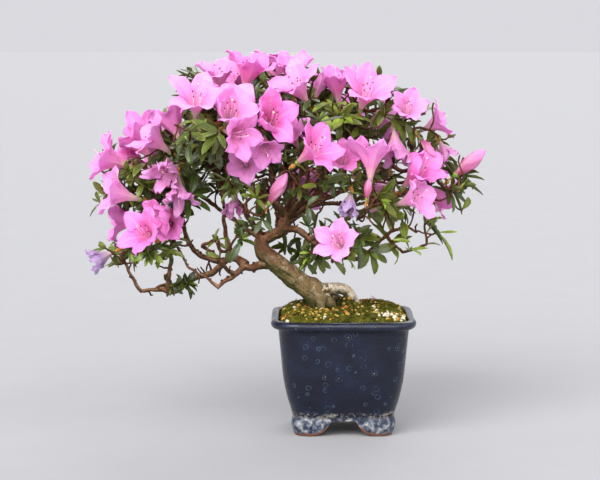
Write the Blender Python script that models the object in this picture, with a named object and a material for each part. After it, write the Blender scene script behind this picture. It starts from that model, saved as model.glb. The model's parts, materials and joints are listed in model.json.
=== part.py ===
"""Azalea bonsai in full flower, in a square glazed pot.

The tables are in millimetres from the middle of the pot on the table that it stands on:
+X to the right, +Y away from the viewer, +Z up. Every shape is made in millimetres. The last
step turns them all into metres and moves the origin to the middle of the underside of the
bounding box.
"""
import math
import random

import bmesh
import bpy
from mathutils import Matrix, Vector
from mathutils.bvhtree import BVHTree

METRES = 0.001

# Gap that neighbouring solids keep
GAP = 0.3

# Pot
RIM_TOP = 90.0
RIM_HALF = 55.0
RIM_CORNER = 21.0
WALL = 6.0
# Height and half width of the outside of the body, from the underside to below the lip
BODY_PROFILE = (
    (13.0, 34.0),
    (15.4, 38.2),
    (20.0, 40.3),
    (29.5, 43.1),
    (44.0, 46.0),
    (65.0, 48.1),
    (82.5, 49.7),
)
BODY_CORNER_SHARE = 0.4
# The lip, from under its edge over the top to the inside: distance below the top, distance in
# from the edge, and how much is taken off the corner's radius
LIP_PROFILE = (
    (6.8, 2.6, 1.0),
    (5.0, 0.4, 0.0),
    (2.0, 0.0, 0.0),
    (0.0, 2.0, 1.0),
    (0.0, 4.5, 2.5),
    (1.6, 6.2, 4.0),
)
# The inner wall follows the body's profile from this row up, down to a level floor
INNER_WALL_FOOT = 3
FLOOR_TOP = 19.0
FLOOR_HALF = 27.0
FLOOR_CORNER = 11.0
DRAIN_RADIUS = 6.0

# Feet: one low ring under the body, cut away in an arch between the corners
FOOT_TOP = 15.6
FOOT_TOP_HALF = 38.9
FOOT_BEND = 10.6
FOOT_BEND_HALF = 38.7
FOOT_BOTTOM_HALF = 36.8
FOOT_INNER_HALF = 27.0
FOOT_CORNER_SHARE = 0.3
ARCH_HEIGHT = 11.0
ARCH_TOP_HALF = 10.5
ARCH_BOTTOM_HALF = 22.5

# Soil: the middle is level, and the trunk stands there. Each row is a height, a half width
# and a corner's radius
GROUND = 95.0
SOIL_FLOOR = (FLOOR_TOP + GAP, FLOOR_HALF - 1.0, FLOOR_CORNER)
SOIL_EDGE = (88.4, 48.2, 17.0)
SOIL_SHOULDER = (91.8, 40.0, 22.0)
SOIL_LEVEL = (GROUND - GAP, 27.0, 18.0)

# Trunk: points up the middle, each with its radius
TRUNK = (
    ((-8, 2, 86), 14.0),
    ((-14, 1, 98), 11.5),
    ((-23, 0, 107), 9.2),
    ((-35, 0, 115), 8.1),
    ((-45, -3, 124), 7.8),
    ((-54, -5, 131), 7.0),
    ((-61, -6, 138), 6.2),
    ((-63, -5, 146), 5.3),
    ((-56, -2, 150), 4.5),
    ((-48, 0, 154), 4.6),
    ((-45, 0, 161), 4.4),
    ((-43, 1, 168), 3.3),
)
TRUNK_SIDES = 8
TRUNK_STEPS = 2
ROOT_SIDES = 6
# Roots that spread over the soil: points, then the radius at each end
ROOTS = (
    ((-16, 0, 106), (-6, 1, 111), (0, 1, 110), (6, 2, 106), (12, 3, 98), (15, 3, 90), 5.0, 2.6),
    ((-12, 4, 100), (-4, 14, 99), (4, 22, 92), 5.0, 2.4),
    ((-16, -3, 100), (-17, -13, 98), (-16, -20, 91), 4.6, 2.2),
    ((-16, 4, 102), (-22, 13, 99), (-25, 20, 91), 4.6, 2.2),
)

# Boughs, each cut clear of the trunk and of those before it:
# name, radius at the foot and at the end, points along it
BOUGHS = (
    ("bough_left_low", 4.1, 1.3,
     (-56, -3, 130), (-68, -8, 127), (-77, -10, 127), (-84, -13, 120), (-90, -14, 117), (-97, -15, 111)),
    ("bough_left_arch", 3.2, 2.0,
     (-75, -9, 128), (-83, -4, 133), (-90, 1, 131), (-101, 4, 121), (-112, 3, 118), (-123, 0, 115)),
    ("bough_left_loop", 2.0, 1.7,
     (-122, 0, 115), (-126, -5, 109), (-131, -9, 107), (-139, -13, 110)),
    ("bough_left_sweep", 1.7, 1.1,
     (-138, -12, 110), (-147, -15, 110), (-155, -17, 110), (-161, -20, 119), (-166, -22, 131)),
    ("bough_left_stub", 1.9, 1.4,
     (-135, -11, 109), (-134, -16, 119), (-132, -18, 128), (-132, -20, 138)),
    ("bough_left_upright", 2.4, 1.5,
     (-92, 2, 130), (-101, 11, 130), (-112, 14, 134), (-119, 12, 143), (-124, 8, 157), (-127, 4, 172)),
    ("bough_left_inner", 2.1, 1.3,
     (-86, 0, 133), (-89, 10, 143), (-92, 16, 156), (-92, 20, 170), (-95, 26, 183)),
    ("bough_left_spur", 1.9, 1.2,
     (-83, -13, 121), (-91, -21, 129), (-98, -27, 138), (-104, -32, 143)),
    ("bough_left_shoot", 1.2, 0.9,
     (-96, -15, 112), (-105, -14, 119), (-112, -14, 123), (-119, -15, 128), (-124, -16, 138)),
    ("bough_middle_left", 2.4, 1.4,
     (-61, -5, 148), (-70, 8, 151), (-77, 20, 155), (-88, 34, 161), (-99, 46, 168)),
    ("bough_upper_left", 3.0, 1.7,
     (-44, 1, 167), (-51, -5, 174), (-60, -13, 180), (-70, -22, 189), (-80, -30, 200), (-89, -35, 214)),
    ("bough_top_centre", 2.6, 1.5,
     (-43, 2, 167), (-41, 6, 178), (-42, 8, 190), (-47, 6, 203), (-54, 1, 216), (-57, -3, 228)),
    ("bough_top_right", 2.8, 1.6,
     (-43, 1, 166), (-34, -3, 169), (-26, -2, 177), (-18, 1, 187), (-14, 5, 199), (-12, 9, 213),
     (-12, 11, 228)),
    ("bough_right_crown", 1.9, 1.3,
     (-18, 2, 190), (-11, 0, 201), (-4, -2, 213), (3, -4, 226)),
    ("bough_right_upper", 2.1, 1.3,
     (-29, -3, 172), (-18, 6, 176), (-2, 8, 183), (14, 6, 191), (28, 4, 200), (37, 3, 212)),
    ("bough_right_low", 3.1, 1.8,
     (-49, 0, 154), (-40, -8, 156), (-32, -12, 154), (-24, -14, 147), (-13, -16, 141), (-2, -19, 138),
     (9, -20, 134)),
    ("bough_right_shoot", 1.6, 1.1,
     (7, -20, 134), (15, -22, 136), (22, -25, 143), (30, -27, 151)),
    ("bough_right_middle", 2.0, 1.2,
     (-26, -14, 148), (-14, -17, 156), (2, -18, 165), (20, -14, 173), (38, -9, 180), (52, -5, 186)),
    ("bough_front_low", 1.5, 1.1,
     (-16, -16, 142), (-13, -28, 141), (-9, -38, 143)),
    ("bough_front", 2.2, 1.3,
     (-42, 0, 165), (-37, -15, 173), (-31, -28, 183), (-28, -40, 195)),
    ("bough_front_left", 1.7, 1.2,
     (-58, -12, 178), (-62, -24, 181), (-66, -36, 187)),
    ("bough_front_right", 1.6, 1.1,
     (-8, -18, 159), (0, -29, 167), (6, -39, 177)),
    ("bough_back_left", 2.9, 1.7,
     (-61, -5, 143), (-66, 16, 153), (-77, 34, 166), (-90, 48, 182), (-103, 58, 198)),
    ("bough_back_top", 2.8, 1.6,
     (-49, 0, 154), (-50, 18, 163), (-54, 34, 178), (-56, 46, 198), (-58, 53, 218)),
    ("bough_back_right", 2.6, 1.6,
     (-44, 1, 160), (-32, 18, 166), (-18, 34, 177), (-4, 46, 192), (6, 54, 206)),
    ("bough_back_low", 1.9, 1.2,
     (-24, 27, 172), (-8, 40, 172), (8, 50, 170), (24, 56, 172)),
    ("bough_back_centre", 1.8, 1.2,
     (-52, 28, 172), (-50, 46, 176), (-48, 62, 184)),
)
# A bough is wider at its foot by the collar, which dies out over this share of its length
BOUGH_COLLAR = 1.25
COLLAR_SHARE = 0.25
BOUGH_TAPER = 0.8
THICK_BOUGH = 2.5
THICK_BOUGH_SIDES = 6
THIN_BOUGH_SIDES = 5
THICK_BOUGH_STEPS = 2
THIN_BOUGH_STEPS = 1

# Masses of leaves and blossom: name, bough that carries it, middle of its space, half sizes
# of its space, how many seeded blooms and how many seeded leaf sprigs it adds
MASSES = (
    ("mass_left_tip", "bough_left_sweep", (-158, -20, 150), (40, 60, 32), 0, 0),
    ("mass_left_low", "bough_left_stub", (-130, -28, 150), (24, 24, 26), 0, 0),
    ("mass_left_loop", "bough_left_loop", (-130, -10, 117), (22, 20, 16), 0, 0),
    ("mass_left_outer", "bough_left_upright", (-162, -4, 190), (38, 52, 50), 0, 0),
    ("mass_left_middle", "bough_left_shoot", (-130, -26, 178), (38, 30, 42), 0, 0),
    ("mass_left_upper", "bough_left_inner", (-136, 6, 222), (45, 54, 40), 1, 1),
    ("mass_inner_left", "bough_left_spur", (-98, -40, 152), (46, 28, 24), 0, 0),
    ("mass_upper_left", "bough_upper_left", (-100, -34, 244), (42, 78, 48), 0, 0),
    ("mass_top_left", "bough_top_centre", (-62, -18, 252), (30, 58, 50), 0, 0),
    ("mass_top_right", "bough_top_right", (-30, 8, 258), (30, 53, 36), 0, 0),
    ("mass_crown_right", "bough_right_crown", (10, -4, 250), (48, 50, 38), 1, 0),
    ("mass_right_upper", "bough_right_upper", (54, 2, 230), (44, 44, 42), 1, 0),
    ("mass_right_tip", "bough_right_middle", (74, 0, 192), (44, 46, 36), 1, 1),
    ("mass_right_low", "bough_right_shoot", (46, -26, 160), (36, 34, 34), 0, 0),
    ("mass_low_centre", "bough_front_low", (-10, -50, 150), (36, 46, 26), 0, 0),
    ("mass_centre", "bough_front", (-26, -52, 208), (41, 48, 50), 0, 0),
    ("mass_centre_left", "bough_front_left", (-68, -44, 196), (38, 32, 50), 0, 0),
    ("mass_centre_right", "bough_front_right", (18, -48, 190), (36, 36, 43), 0, 0),
    ("mass_back_left_low", "bough_middle_left", (-122, 56, 184), (46, 46, 32), 1, 1),
    ("mass_back_left", "bough_back_left", (-112, 60, 222), (51, 48, 46), 3, 1),
    ("mass_back_top", "bough_back_top", (-62, 56, 246), (46, 50, 50), 3, 1),
    ("mass_back_right", "bough_back_right", (8, 60, 232), (52, 52, 48), 3, 1),
    ("mass_back_low_right", "bough_back_low", (46, 56, 188), (50, 44, 38), 2, 1),
    ("mass_back_centre", "bough_back_centre", (-46, 84, 196), (48, 50, 44), 3, 1),
)
# Seeded tips lie on the outward side of a mass, at these shares of its half sizes
CROWN_MIDDLE = Vector((-50, 0, 190))
OUTWARD_LEAN = 0.9
UPWARD_LEAN = 0.15
BLOOM_REACH = 0.32
SPRIG_REACH = 0.42
GOLDEN_ANGLE = math.pi * (3 - math.sqrt(5))

# Blossom that the photograph shows: kind, foot of the bloom, heading round from +X and up
# from level in degrees, size
BLOSSOM = {
    "mass_left_tip": (
        ("open", (-158, 2, 160), -175, 5, 1.0),
        ("open", (-141, -46, 152), -118, 20, 0.95),
        ("faded", (-174, -22, 141), -170, -25, 1.0),
    ),
    "mass_left_outer": (
        ("open", (-161, -10, 203), -168, 22, 1.05),
        ("open", (-153, -28, 180), -165, 16, 1.05),
        ("open", (-146, 14, 206), -195, 50, 1.0),
    ),
    "mass_left_middle": (
        ("open", (-130, -24, 197), -112, 0, 0.8),
        ("faded", (-121, -30, 199), -80, -70, 1.0),
        ("open", (-126, -22, 172), -130, -8, 0.85),
    ),
    "mass_left_low": (
        ("open", (-124, -18, 158), -95, 0, 0.8),
    ),
    "mass_left_upper": (
        ("open", (-131, -14, 214), -160, 38, 1.0),
        ("open", (-117, -18, 218), -88, 22, 0.85),
        ("open", (-126, 26, 220), 150, 62, 1.0),
    ),
    "mass_upper_left": (
        ("open", (-112, -36, 240), -80, 50, 1.15),
        ("open", (-95, -22, 240), -50, 66, 0.95),
        ("open", (-90, -54, 234), -50, -10, 0.95),
        ("open", (-95, 16, 256), 100, 68, 1.0),
    ),
    "mass_top_left": (
        ("open", (-77, -6, 258), -30, 74, 1.1),
        ("open", (-58, -36, 236), -82, 40, 1.1),
        ("open", (-61, -38, 230), -78, -40, 0.8),
    ),
    "mass_top_right": (
        ("open", (-38, 20, 258), -100, 80, 1.05),
        ("open", (-26, -12, 250), -140, 52, 1.1),
        ("faded", (-22, 2, 254), 60, 60, 0.8),
    ),
    "mass_crown_right": (
        ("open", (-3, 2, 249), -130, 80, 1.0),
        ("open", (12, -18, 246), -68, 50, 1.1),
    ),
    "mass_right_upper": (
        ("open", (45, -12, 243), -75, 40, 0.9),
        ("faded", (38, -20, 235), -80, -70, 0.9),
        ("open", (63, 12, 231), -6, 18, 1.0),
        ("bud", (58, -12, 226), -30, -45, 0.8),
        ("faded", (73, 0, 225), 0, -60, 0.7),
    ),
    "mass_right_tip": (
        ("open", (51, -15, 188), -42, 42, 1.15),
        ("bud", (85, 0, 196), 0, 40, 1.2),
    ),
    "mass_right_low": (
        ("open", (38, -30, 176), -28, 0, 1.0),
    ),
    "mass_centre": (
        ("open", (-36, -64, 210), -40, 32, 1.1),
        ("open", (-34, -22, 218), -125, 50, 0.8),
        ("open", (-2, -26, 202), -85, 40, 0.8),
    ),
    "mass_centre_right": (
        ("open", (19, -54, 197), -70, 74, 1.05),
        ("bud", (16, -58, 182), 60, 75, 0.7),
        ("faded", (5, -54, 190), -110, -60, 0.8),
    ),
    "mass_centre_left": (
        ("open", (-73, -20, 205), -95, 10, 0.8),
        ("bud", (-57, -50, 178), -20, 58, 1.2),
        ("open", (-82, -26, 178), -125, 15, 0.7),
    ),
    "mass_low_centre": (
        ("open", (3, -60, 146), -112, 22, 1.0),
    ),
}

# Sprigs of leaves that the photograph shows: end of the twig, heading round and up in degrees
SPRIGS = {
    "mass_left_tip": (((-160, -14, 137), -160, 0), ((-147, -36, 140), -110, -10)),
    "mass_left_low": (((-132, -32, 143), -90, 10),),
    "mass_left_loop": (((-120, -10, 114), -50, 20),),
    "mass_left_outer": (((-162, -20, 200), -140, 20),),
    "mass_left_middle": (((-116, -32, 184), -50, 20),),
    "mass_left_upper": (((-126, -24, 237), -110, 60),),
    "mass_inner_left": (((-97, -42, 151), -110, 60), ((-77, -45, 152), -80, 30)),
    "mass_upper_left": (((-98, -50, 222), -90, 0),),
    "mass_top_left": (((-70, -40, 226), -110, -10),),
    "mass_top_right": (((-28, 26, 250), 80, 30),),
    "mass_crown_right": (((-3, -18, 240), -100, 20),),
    "mass_right_upper": (((52, -20, 222), -70, 0),),
    "mass_right_tip": (((84, 2, 188), 0, 5),),
    "mass_right_low": (((37, -32, 150), -60, 0), ((64, -18, 162), -20, 10)),
    "mass_low_centre": (((-26, -32, 138), -130, -10), ((10, -40, 152), -40, 0)),
    "mass_centre": (((-33, -44, 188), -100, -10), ((-12, -58, 198), -50, 0)),
    "mass_centre_left": (((-62, -42, 166), -100, -20), ((-82, -42, 192), -130, 10)),
    "mass_centre_right": (((27, -48, 182), -50, 0),),
}

# Leaves: widest at this share of their length, with the end a little lower than the root
LEAF_LENGTH = 28.0
LEAF_WIDTH = 11.0
LEAF_THICKNESS = 0.8
LEAF_WIDEST = 0.45
LEAF_DROOP = 0.06
LEAF_SIZES = (0.85, 1.1)
# A heading whose level part is shorter than this counts as upright
NEARLY_UPRIGHT = 0.05
# Angle from the twig in degrees, and places along it from its end
LEAF_SPREADS = (48, 72)
LEAF_ROOT_SUNK = 0.3
LEAF_SPACING = 1.5
FIRST_LEAF_ON_SPRIG = 0.8
FIRST_LEAF_UNDER_BLOOM = 2.8
LEAVES_ON_SPRIG = 3
LEAVES_UNDER_BLOOM = 1

# Open blooms: a funnel with this many lobes. Each place is a share of the radius out from the
# axis and a share of the depth along it
BLOOM_LOBES = 5
BLOOM_DEPTH = 31.0
BLOOM_RADIUS = 19.0
THROAT = (0.0, 0.36)
LOBE_NOTCH = (0.34, 0.58)
LOBE_SHOULDER = (0.76, 0.82)
LOBE_TIP = (1.0, 0.98)
LOBE_OUTSIDE = (0.42, 0.5)
LOBE_INSIDE = (0.4, 0.57)
SHOULDER_TURN = 0.3
# A bloom with too little room opens less wide and is longer
BLOOM_OPENINGS = (1.0, 0.82, 0.66, 0.5)
CLOSED_STRETCH = 0.25

# Buds and faded blooms: length, and rings of a share of the length and a radius
SPINDLE_SIDES = 6
BUD_LENGTH = 24.0
BUD_RINGS = ((0.6, 4.6),)
FADED_LENGTH = 25.0
FADED_RINGS = ((0.35, 3.2), (0.75, 6.0))

# The stem of a mass bends at its knee, and twigs leave and arrive by these shares of their reach
STEM_SIDES = 4
STEM_STEPS = 2
STEM_KNEE = 0.35
STEM_END = 0.75
TWIG_RADIUS = 1.3
TWIG_END_RADIUS = 1.0
TWIG_SIDES = 3
TWIG_STEPS = 2
TWIG_LEAVE = 0.3
TWIG_ARRIVE = 0.35
TWIG_INTO_BLOOM = 4.0
TWIG_AIM_BACK = 6.0
# A twig that meets something is tried again, with a wider bend and then from the next joint
TWIG_TRIES = 8
TRIES_FROM_A_JOINT = 2
TWIG_BEND = 1.5

# Colour and roughness of each material
MATERIALS = {
    "glaze": ((0.015, 0.018, 0.045), 0.25),
    "moss": ((0.16, 0.17, 0.02), 0.9),
    "bark": ((0.2, 0.12, 0.07), 0.8),
    "blossom": ((0.9, 0.3, 0.75), 0.5),
    "foliage": ((0.05, 0.12, 0.03), 0.4),
}


# Meshes

def solid(points, faces):
    """A closed triangle mesh as plain lists, with its faces turned outwards."""
    mesh = bmesh.new()
    corners = [mesh.verts.new(point) for point in points]
    for face in faces:
        mesh.faces.new([corners[i] for i in face])
    bmesh.ops.triangulate(mesh, faces=mesh.faces[:])
    bmesh.ops.recalc_face_normals(mesh, faces=mesh.faces[:])
    mesh.verts.index_update()
    result = ([v.co.copy() for v in mesh.verts], [[v.index for v in f.verts] for f in mesh.faces])
    mesh.free()
    return result


def bands(rings, count, closed=False):
    """Quads between neighbouring rings of count points each."""
    faces = []
    for ring in range(rings if closed else rings - 1):
        low = ring * count
        high = (ring + 1) % rings * count
        for i in range(count):
            j = (i + 1) % count
            faces.append((low + i, low + j, high + j, high + i))
    return faces


def loft(rings, closed=False):
    """A solid through rings of points: with a cap at each end, or closed back to the first."""
    count = len(rings[0])
    faces = bands(len(rings), count, closed)
    if not closed:
        last = (len(rings) - 1) * count
        faces += [tuple(range(count)), tuple(range(last, last + count))]
    return solid([point for ring in rings for point in ring], faces)


def circle(centre, side, other, radius, sides):
    """Points round a circle that lies in the plane of two unit vectors."""
    points = []
    for i in range(sides):
        angle = 2 * math.pi * i / sides
        points.append(centre + radius * (math.cos(angle) * side + math.sin(angle) * other))
    return points


def tube(path, radii, sides):
    """A tapering closed tube along a path."""
    tangents = []
    for i in range(len(path)):
        tangents.append((path[min(i + 1, len(path) - 1)] - path[max(i - 1, 0)]).normalized())
    side = tangents[0].orthogonal().normalized()
    rings = []
    for centre, tangent, radius in zip(path, tangents, radii):
        side = (side - tangent * side.dot(tangent)).normalized()
        rings.append(circle(centre, side, tangent.cross(side), radius, sides))
    return loft(rings)


def smooth(points, spans):
    """A rounder path through the points, with the given number of steps between each two."""
    points = [Vector(p) for p in points]
    ends = [2 * points[0] - points[1]] + points + [2 * points[-1] - points[-2]]
    path = []
    for a, b, c, d in zip(ends, ends[1:], ends[2:], ends[3:]):
        for step in range(spans):
            t = step / spans
            path.append(0.5 * (2 * b + (c - a) * t + (2 * a - 5 * b + 4 * c - d) * t ** 2
                               + (3 * b - a - 3 * c + d) * t ** 3))
    return path + [points[-1]]


def grown(shape, amount):
    """The same closed mesh with its skin moved outwards."""
    points, faces = shape
    normals = [Vector() for _ in points]
    for face in faces:
        a, b, c = (points[i] for i in face)
        normal = (b - a).cross(c - a)
        for i in face:
            normals[i] += normal
    return [p + n.normalized() * amount for p, n in zip(points, normals)], faces


def new_object(name, shape):
    mesh = bpy.data.meshes.new(name)
    mesh.from_pydata([tuple(p) for p in shape[0]], [], shape[1])
    obj = bpy.data.objects.new(name, mesh)
    bpy.context.scene.collection.objects.link(obj)
    return obj


def combine(name, operation, shapes):
    """One Boolean of the first shape with all the others, applied."""
    obj = new_object(name, shapes[0])
    if len(shapes) == 1:
        return obj
    group = bpy.data.collections.new(name + "_others")
    bpy.context.scene.collection.children.link(group)
    others = [new_object(f"{name}_{i}", shape) for i, shape in enumerate(shapes[1:])]
    for other in others:
        group.objects.link(other)
    modifier = obj.modifiers.new(operation.lower(), "BOOLEAN")
    modifier.operation = operation
    modifier.operand_type = "COLLECTION"
    modifier.collection = group
    start = obj.data
    for solver in ("EXACT", "MANIFOLD"):
        modifier.solver = solver
        obj.data = start
        evaluated = obj.evaluated_get(bpy.context.evaluated_depsgraph_get())
        obj.data = bpy.data.meshes.new_from_object(evaluated)
        keep_main_shell(obj)
        if is_closed(obj.data):
            break
    obj.modifiers.clear()
    for other in others:
        bpy.data.objects.remove(other)
    bpy.data.collections.remove(group)
    return obj


def is_closed(mesh):
    """True if each edge of the mesh joins exactly two faces."""
    copy = bmesh.new()
    copy.from_mesh(mesh)
    closed = all(edge.is_manifold for edge in copy.edges)
    copy.free()
    return closed


def keep_main_shell(obj):
    """Drop loose scraps and fill sealed hollows: only the largest outer skin stays."""
    mesh = bmesh.new()
    mesh.from_mesh(obj.data)
    bmesh.ops.triangulate(mesh, faces=mesh.faces[:])
    unseen = set(mesh.faces)
    shells = []
    while unseen:
        shell = [unseen.pop()]
        for face in shell:
            for edge in face.edges:
                for neighbour in edge.link_faces:
                    if neighbour in unseen:
                        unseen.remove(neighbour)
                        shell.append(neighbour)
        volume = 0.0
        for face in shell:
            a, b, c = (v.co for v in face.verts)
            volume += a.dot(b.cross(c))
        shells.append((volume, shell))
    shells.sort(key=lambda item: item[0])
    for _, shell in shells[:-1]:
        bmesh.ops.delete(mesh, geom=shell, context="FACES")
    mesh.to_mesh(obj.data)
    mesh.free()


def shape_of(obj):
    """An object's mesh as plain lists."""
    points = [v.co.copy() for v in obj.data.vertices]
    return points, [list(p.vertices) for p in obj.data.polygons]


# Which solids meet

def extent(points):
    """The lowest and highest corner of the box round some points."""
    low = Vector([min(p[i] for p in points) for i in range(3)])
    high = Vector([max(p[i] for p in points) for i in range(3)])
    return low, high


def boxes_meet(first, second):
    """True if the boxes round two shapes overlap."""
    low_a, high_a = extent(first[0])
    low_b, high_b = extent(second[0])
    return all(low_a[i] <= high_b[i] and low_b[i] <= high_a[i] for i in range(3))


class Guard:
    """The skins that are already in place, with the node and the kind of each."""

    def __init__(self):
        self.skins = []

    def add(self, node, kind, shape):
        self.skins.append((node, kind, BVHTree.FromPolygons(*shape)))

    def blocks(self, shape, node, own_kinds=()):
        """True if the shape, with its gap, meets another node or the named kinds of its own."""
        tree = BVHTree.FromPolygons(*grown(shape, GAP))
        for owner, kind, skin in self.skins:
            if owner == node and kind not in own_kinds:
                continue
            if tree.overlap(skin):
                return True
        return False


# Pot and soil

def rounded_square(half, corner, height, arc_steps=4, side_steps=1):
    """Points round a square with rounded corners, counterclockwise from above."""
    corner = min(corner, half)
    flat = half - corner
    points = []
    for quarter in range(4):
        turn = Matrix.Rotation(quarter * math.pi / 2, 3, "Z")
        for step in range(side_steps):
            across = -flat + 2 * flat * step / side_steps
            points.append(turn @ Vector((half, across, height)))
        for step in range(arc_steps):
            angle = math.pi / 2 * step / arc_steps
            arc = Vector((flat + corner * math.cos(angle), flat + corner * math.sin(angle), height))
            points.append(turn @ arc)
    return points


def wall_rows(inset):
    """Rows up the inner wall, this far in from the outside of the body."""
    rows = BODY_PROFILE[INNER_WALL_FOOT:]
    return [(z, half - inset, half * BODY_CORNER_SHARE - WALL / 2) for z, half in rows]


def make_pot():
    """The hollow pot with its lip, drain hole and feet in one skin."""
    underside = BODY_PROFILE[0][0]
    drain = [(underside, DRAIN_RADIUS, DRAIN_RADIUS)]
    outside = [(z, half, half * BODY_CORNER_SHARE) for z, half in BODY_PROFILE]
    lip = [(RIM_TOP - down, RIM_HALF - inward, RIM_CORNER - less) for down, inward, less in LIP_PROFILE]
    inside = wall_rows(WALL)[::-1]
    floor = [(FLOOR_TOP, FLOOR_HALF, FLOOR_CORNER), (FLOOR_TOP, DRAIN_RADIUS, DRAIN_RADIUS)]
    section = drain + outside + lip + inside + floor
    body = loft([rounded_square(half, corner, z) for z, half, corner in section], closed=True)
    return combine("pot", "UNION", [body, foot_ring()])


def foot_ring():
    """A low ring under the body, whose lower edge rises in an arch between the corners."""
    rows = (
        (FOOT_TOP, FOOT_TOP_HALF, False),
        (FOOT_BEND, FOOT_BEND_HALF, False),
        (0.0, FOOT_BOTTOM_HALF, True),
        (0.0, FOOT_INNER_HALF, True),
        (FOOT_TOP, FOOT_INNER_HALF, False),
    )
    rings = []
    for height, half, follows_arch in rows:
        ring = rounded_square(half, half * FOOT_CORNER_SHARE, height, arc_steps=2, side_steps=7)
        if follows_arch:
            for point in ring:
                point.z = arch_height(min(abs(point.x), abs(point.y)))
        rings.append(ring)
    return loft(rings, closed=True)


def arch_height(across):
    """How high the feet's lower edge is, this far from the middle of a side."""
    share = (across - ARCH_TOP_HALF) / (ARCH_BOTTOM_HALF - ARCH_TOP_HALF)
    return ARCH_HEIGHT * (1 - min(max(share, 0.0), 1.0)) ** 2


def make_soil():
    """Soil that fills the pot and rises to a level top under the trunk."""
    section = [SOIL_FLOOR] + wall_rows(WALL + GAP) + [SOIL_EDGE, SOIL_SHOULDER, SOIL_LEVEL]
    return new_object("soil", loft([rounded_square(half, corner, z) for z, half, corner in section]))


# Trunk and boughs

def make_trunk():
    """The trunk and its surface roots in one skin, cut flat where they meet the soil.

    Also gives the trunk's skin grown by the gap, which the boughs are cut clear of.
    """
    path = smooth([point for point, _ in TRUNK], TRUNK_STEPS)
    radii = [r.x for r in smooth([(radius, 0, 0) for _, radius in TRUNK], TRUNK_STEPS)]
    shapes = [tube(path, radii, TRUNK_SIDES)]
    cutters = [tube(path, [r + GAP for r in radii], TRUNK_SIDES)]
    for *points, foot_radius, end_radius in ROOTS:
        root_path, root_radii = limb(points, foot_radius, end_radius)
        shapes.append(tube(root_path, root_radii, ROOT_SIDES))
    obj = combine("trunk", "UNION", shapes)
    mesh = bmesh.new()
    mesh.from_mesh(obj.data)
    everything = mesh.verts[:] + mesh.edges[:] + mesh.faces[:]
    ground = Vector((0, 0, GROUND))
    upwards = Vector((0, 0, 1))
    bmesh.ops.bisect_plane(mesh, geom=everything, plane_co=ground, plane_no=upwards, clear_inner=True)
    bmesh.ops.holes_fill(mesh, edges=[e for e in mesh.edges if e.is_boundary])
    mesh.to_mesh(obj.data)
    mesh.free()
    keep_main_shell(obj)
    return obj, cutters


def limb(points, foot_radius, end_radius):
    """Path and radii of a tapering limb with a slight collar at its foot."""
    path = smooth(points, THICK_BOUGH_STEPS if foot_radius > THICK_BOUGH else THIN_BOUGH_STEPS)
    radii = []
    for i in range(len(path)):
        share = i / (len(path) - 1)
        collar = 1 + (BOUGH_COLLAR - 1) * max(0.0, 1 - share / COLLAR_SHARE)
        radii.append((foot_radius + (end_radius - foot_radius) * share ** BOUGH_TAPER) * collar)
    return path, radii


def cut_clear(name, shape, foot, cutters):
    """The shape less those cutters that its foot meets."""
    met = [cutter for cutter in cutters if boxes_meet(foot, cutter)]
    return combine(name, "DIFFERENCE", [shape] + met)


def make_boughs(cutters):
    """The boughs in order. The cutters are the grown skins of all wood so far."""
    boughs = {}
    ends = {}
    for name, foot_radius, end_radius, *points in BOUGHS:
        path, radii = limb(points, foot_radius, end_radius)
        sides = THICK_BOUGH_SIDES if foot_radius > THICK_BOUGH else THIN_BOUGH_SIDES
        bough = tube(path, radii, sides)
        boughs[name] = cut_clear(name, bough, bough, cutters)
        way = (path[-1] - path[-2]).normalized()
        longer = path[:-1] + [path[-1] + way * GAP]
        cutters.append(tube(longer, [r + GAP for r in radii], sides))
        ends[name] = (path[-1], way, radii[-1])
    return boughs, ends


# Leaves, blossom and twigs

def aim(turn, rise):
    """Unit vector from a heading round and up, in degrees."""
    turn = math.radians(turn)
    rise = math.radians(rise)
    return Vector((math.cos(rise) * math.cos(turn), math.cos(rise) * math.sin(turn), math.sin(rise)))


def square_to(axis, turn):
    """Two unit vectors square to an axis, turned round it."""
    side = axis.orthogonal().normalized()
    side.rotate(Matrix.Rotation(turn, 3, axis))
    return side, axis.cross(side)


def leaf(root, way, size):
    """A flattened diamond of eight faces, flat side up, its root sunk past the twig's middle."""
    across = way.cross(Vector((0, 0, 1)))
    across = across.normalized() if across.length > NEARLY_UPRIGHT else way.orthogonal().normalized()
    up = across.cross(way)
    length = LEAF_LENGTH * size
    start = root - way * LEAF_ROOT_SUNK
    end = start + way * length - up * length * LEAF_DROOP
    widest = start + way * length * LEAF_WIDEST
    half_width = across * LEAF_WIDTH * size / 2
    half_thickness = up * LEAF_THICKNESS / 2
    points = [start, end]
    for offset in (-half_width, half_width, -half_thickness, half_thickness):
        points.append(widest + offset)
    faces = []
    for side in (2, 3):
        for flat in (4, 5):
            faces.append((0, side, flat))
            faces.append((1, side, flat))
    return solid(points, faces)


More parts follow.
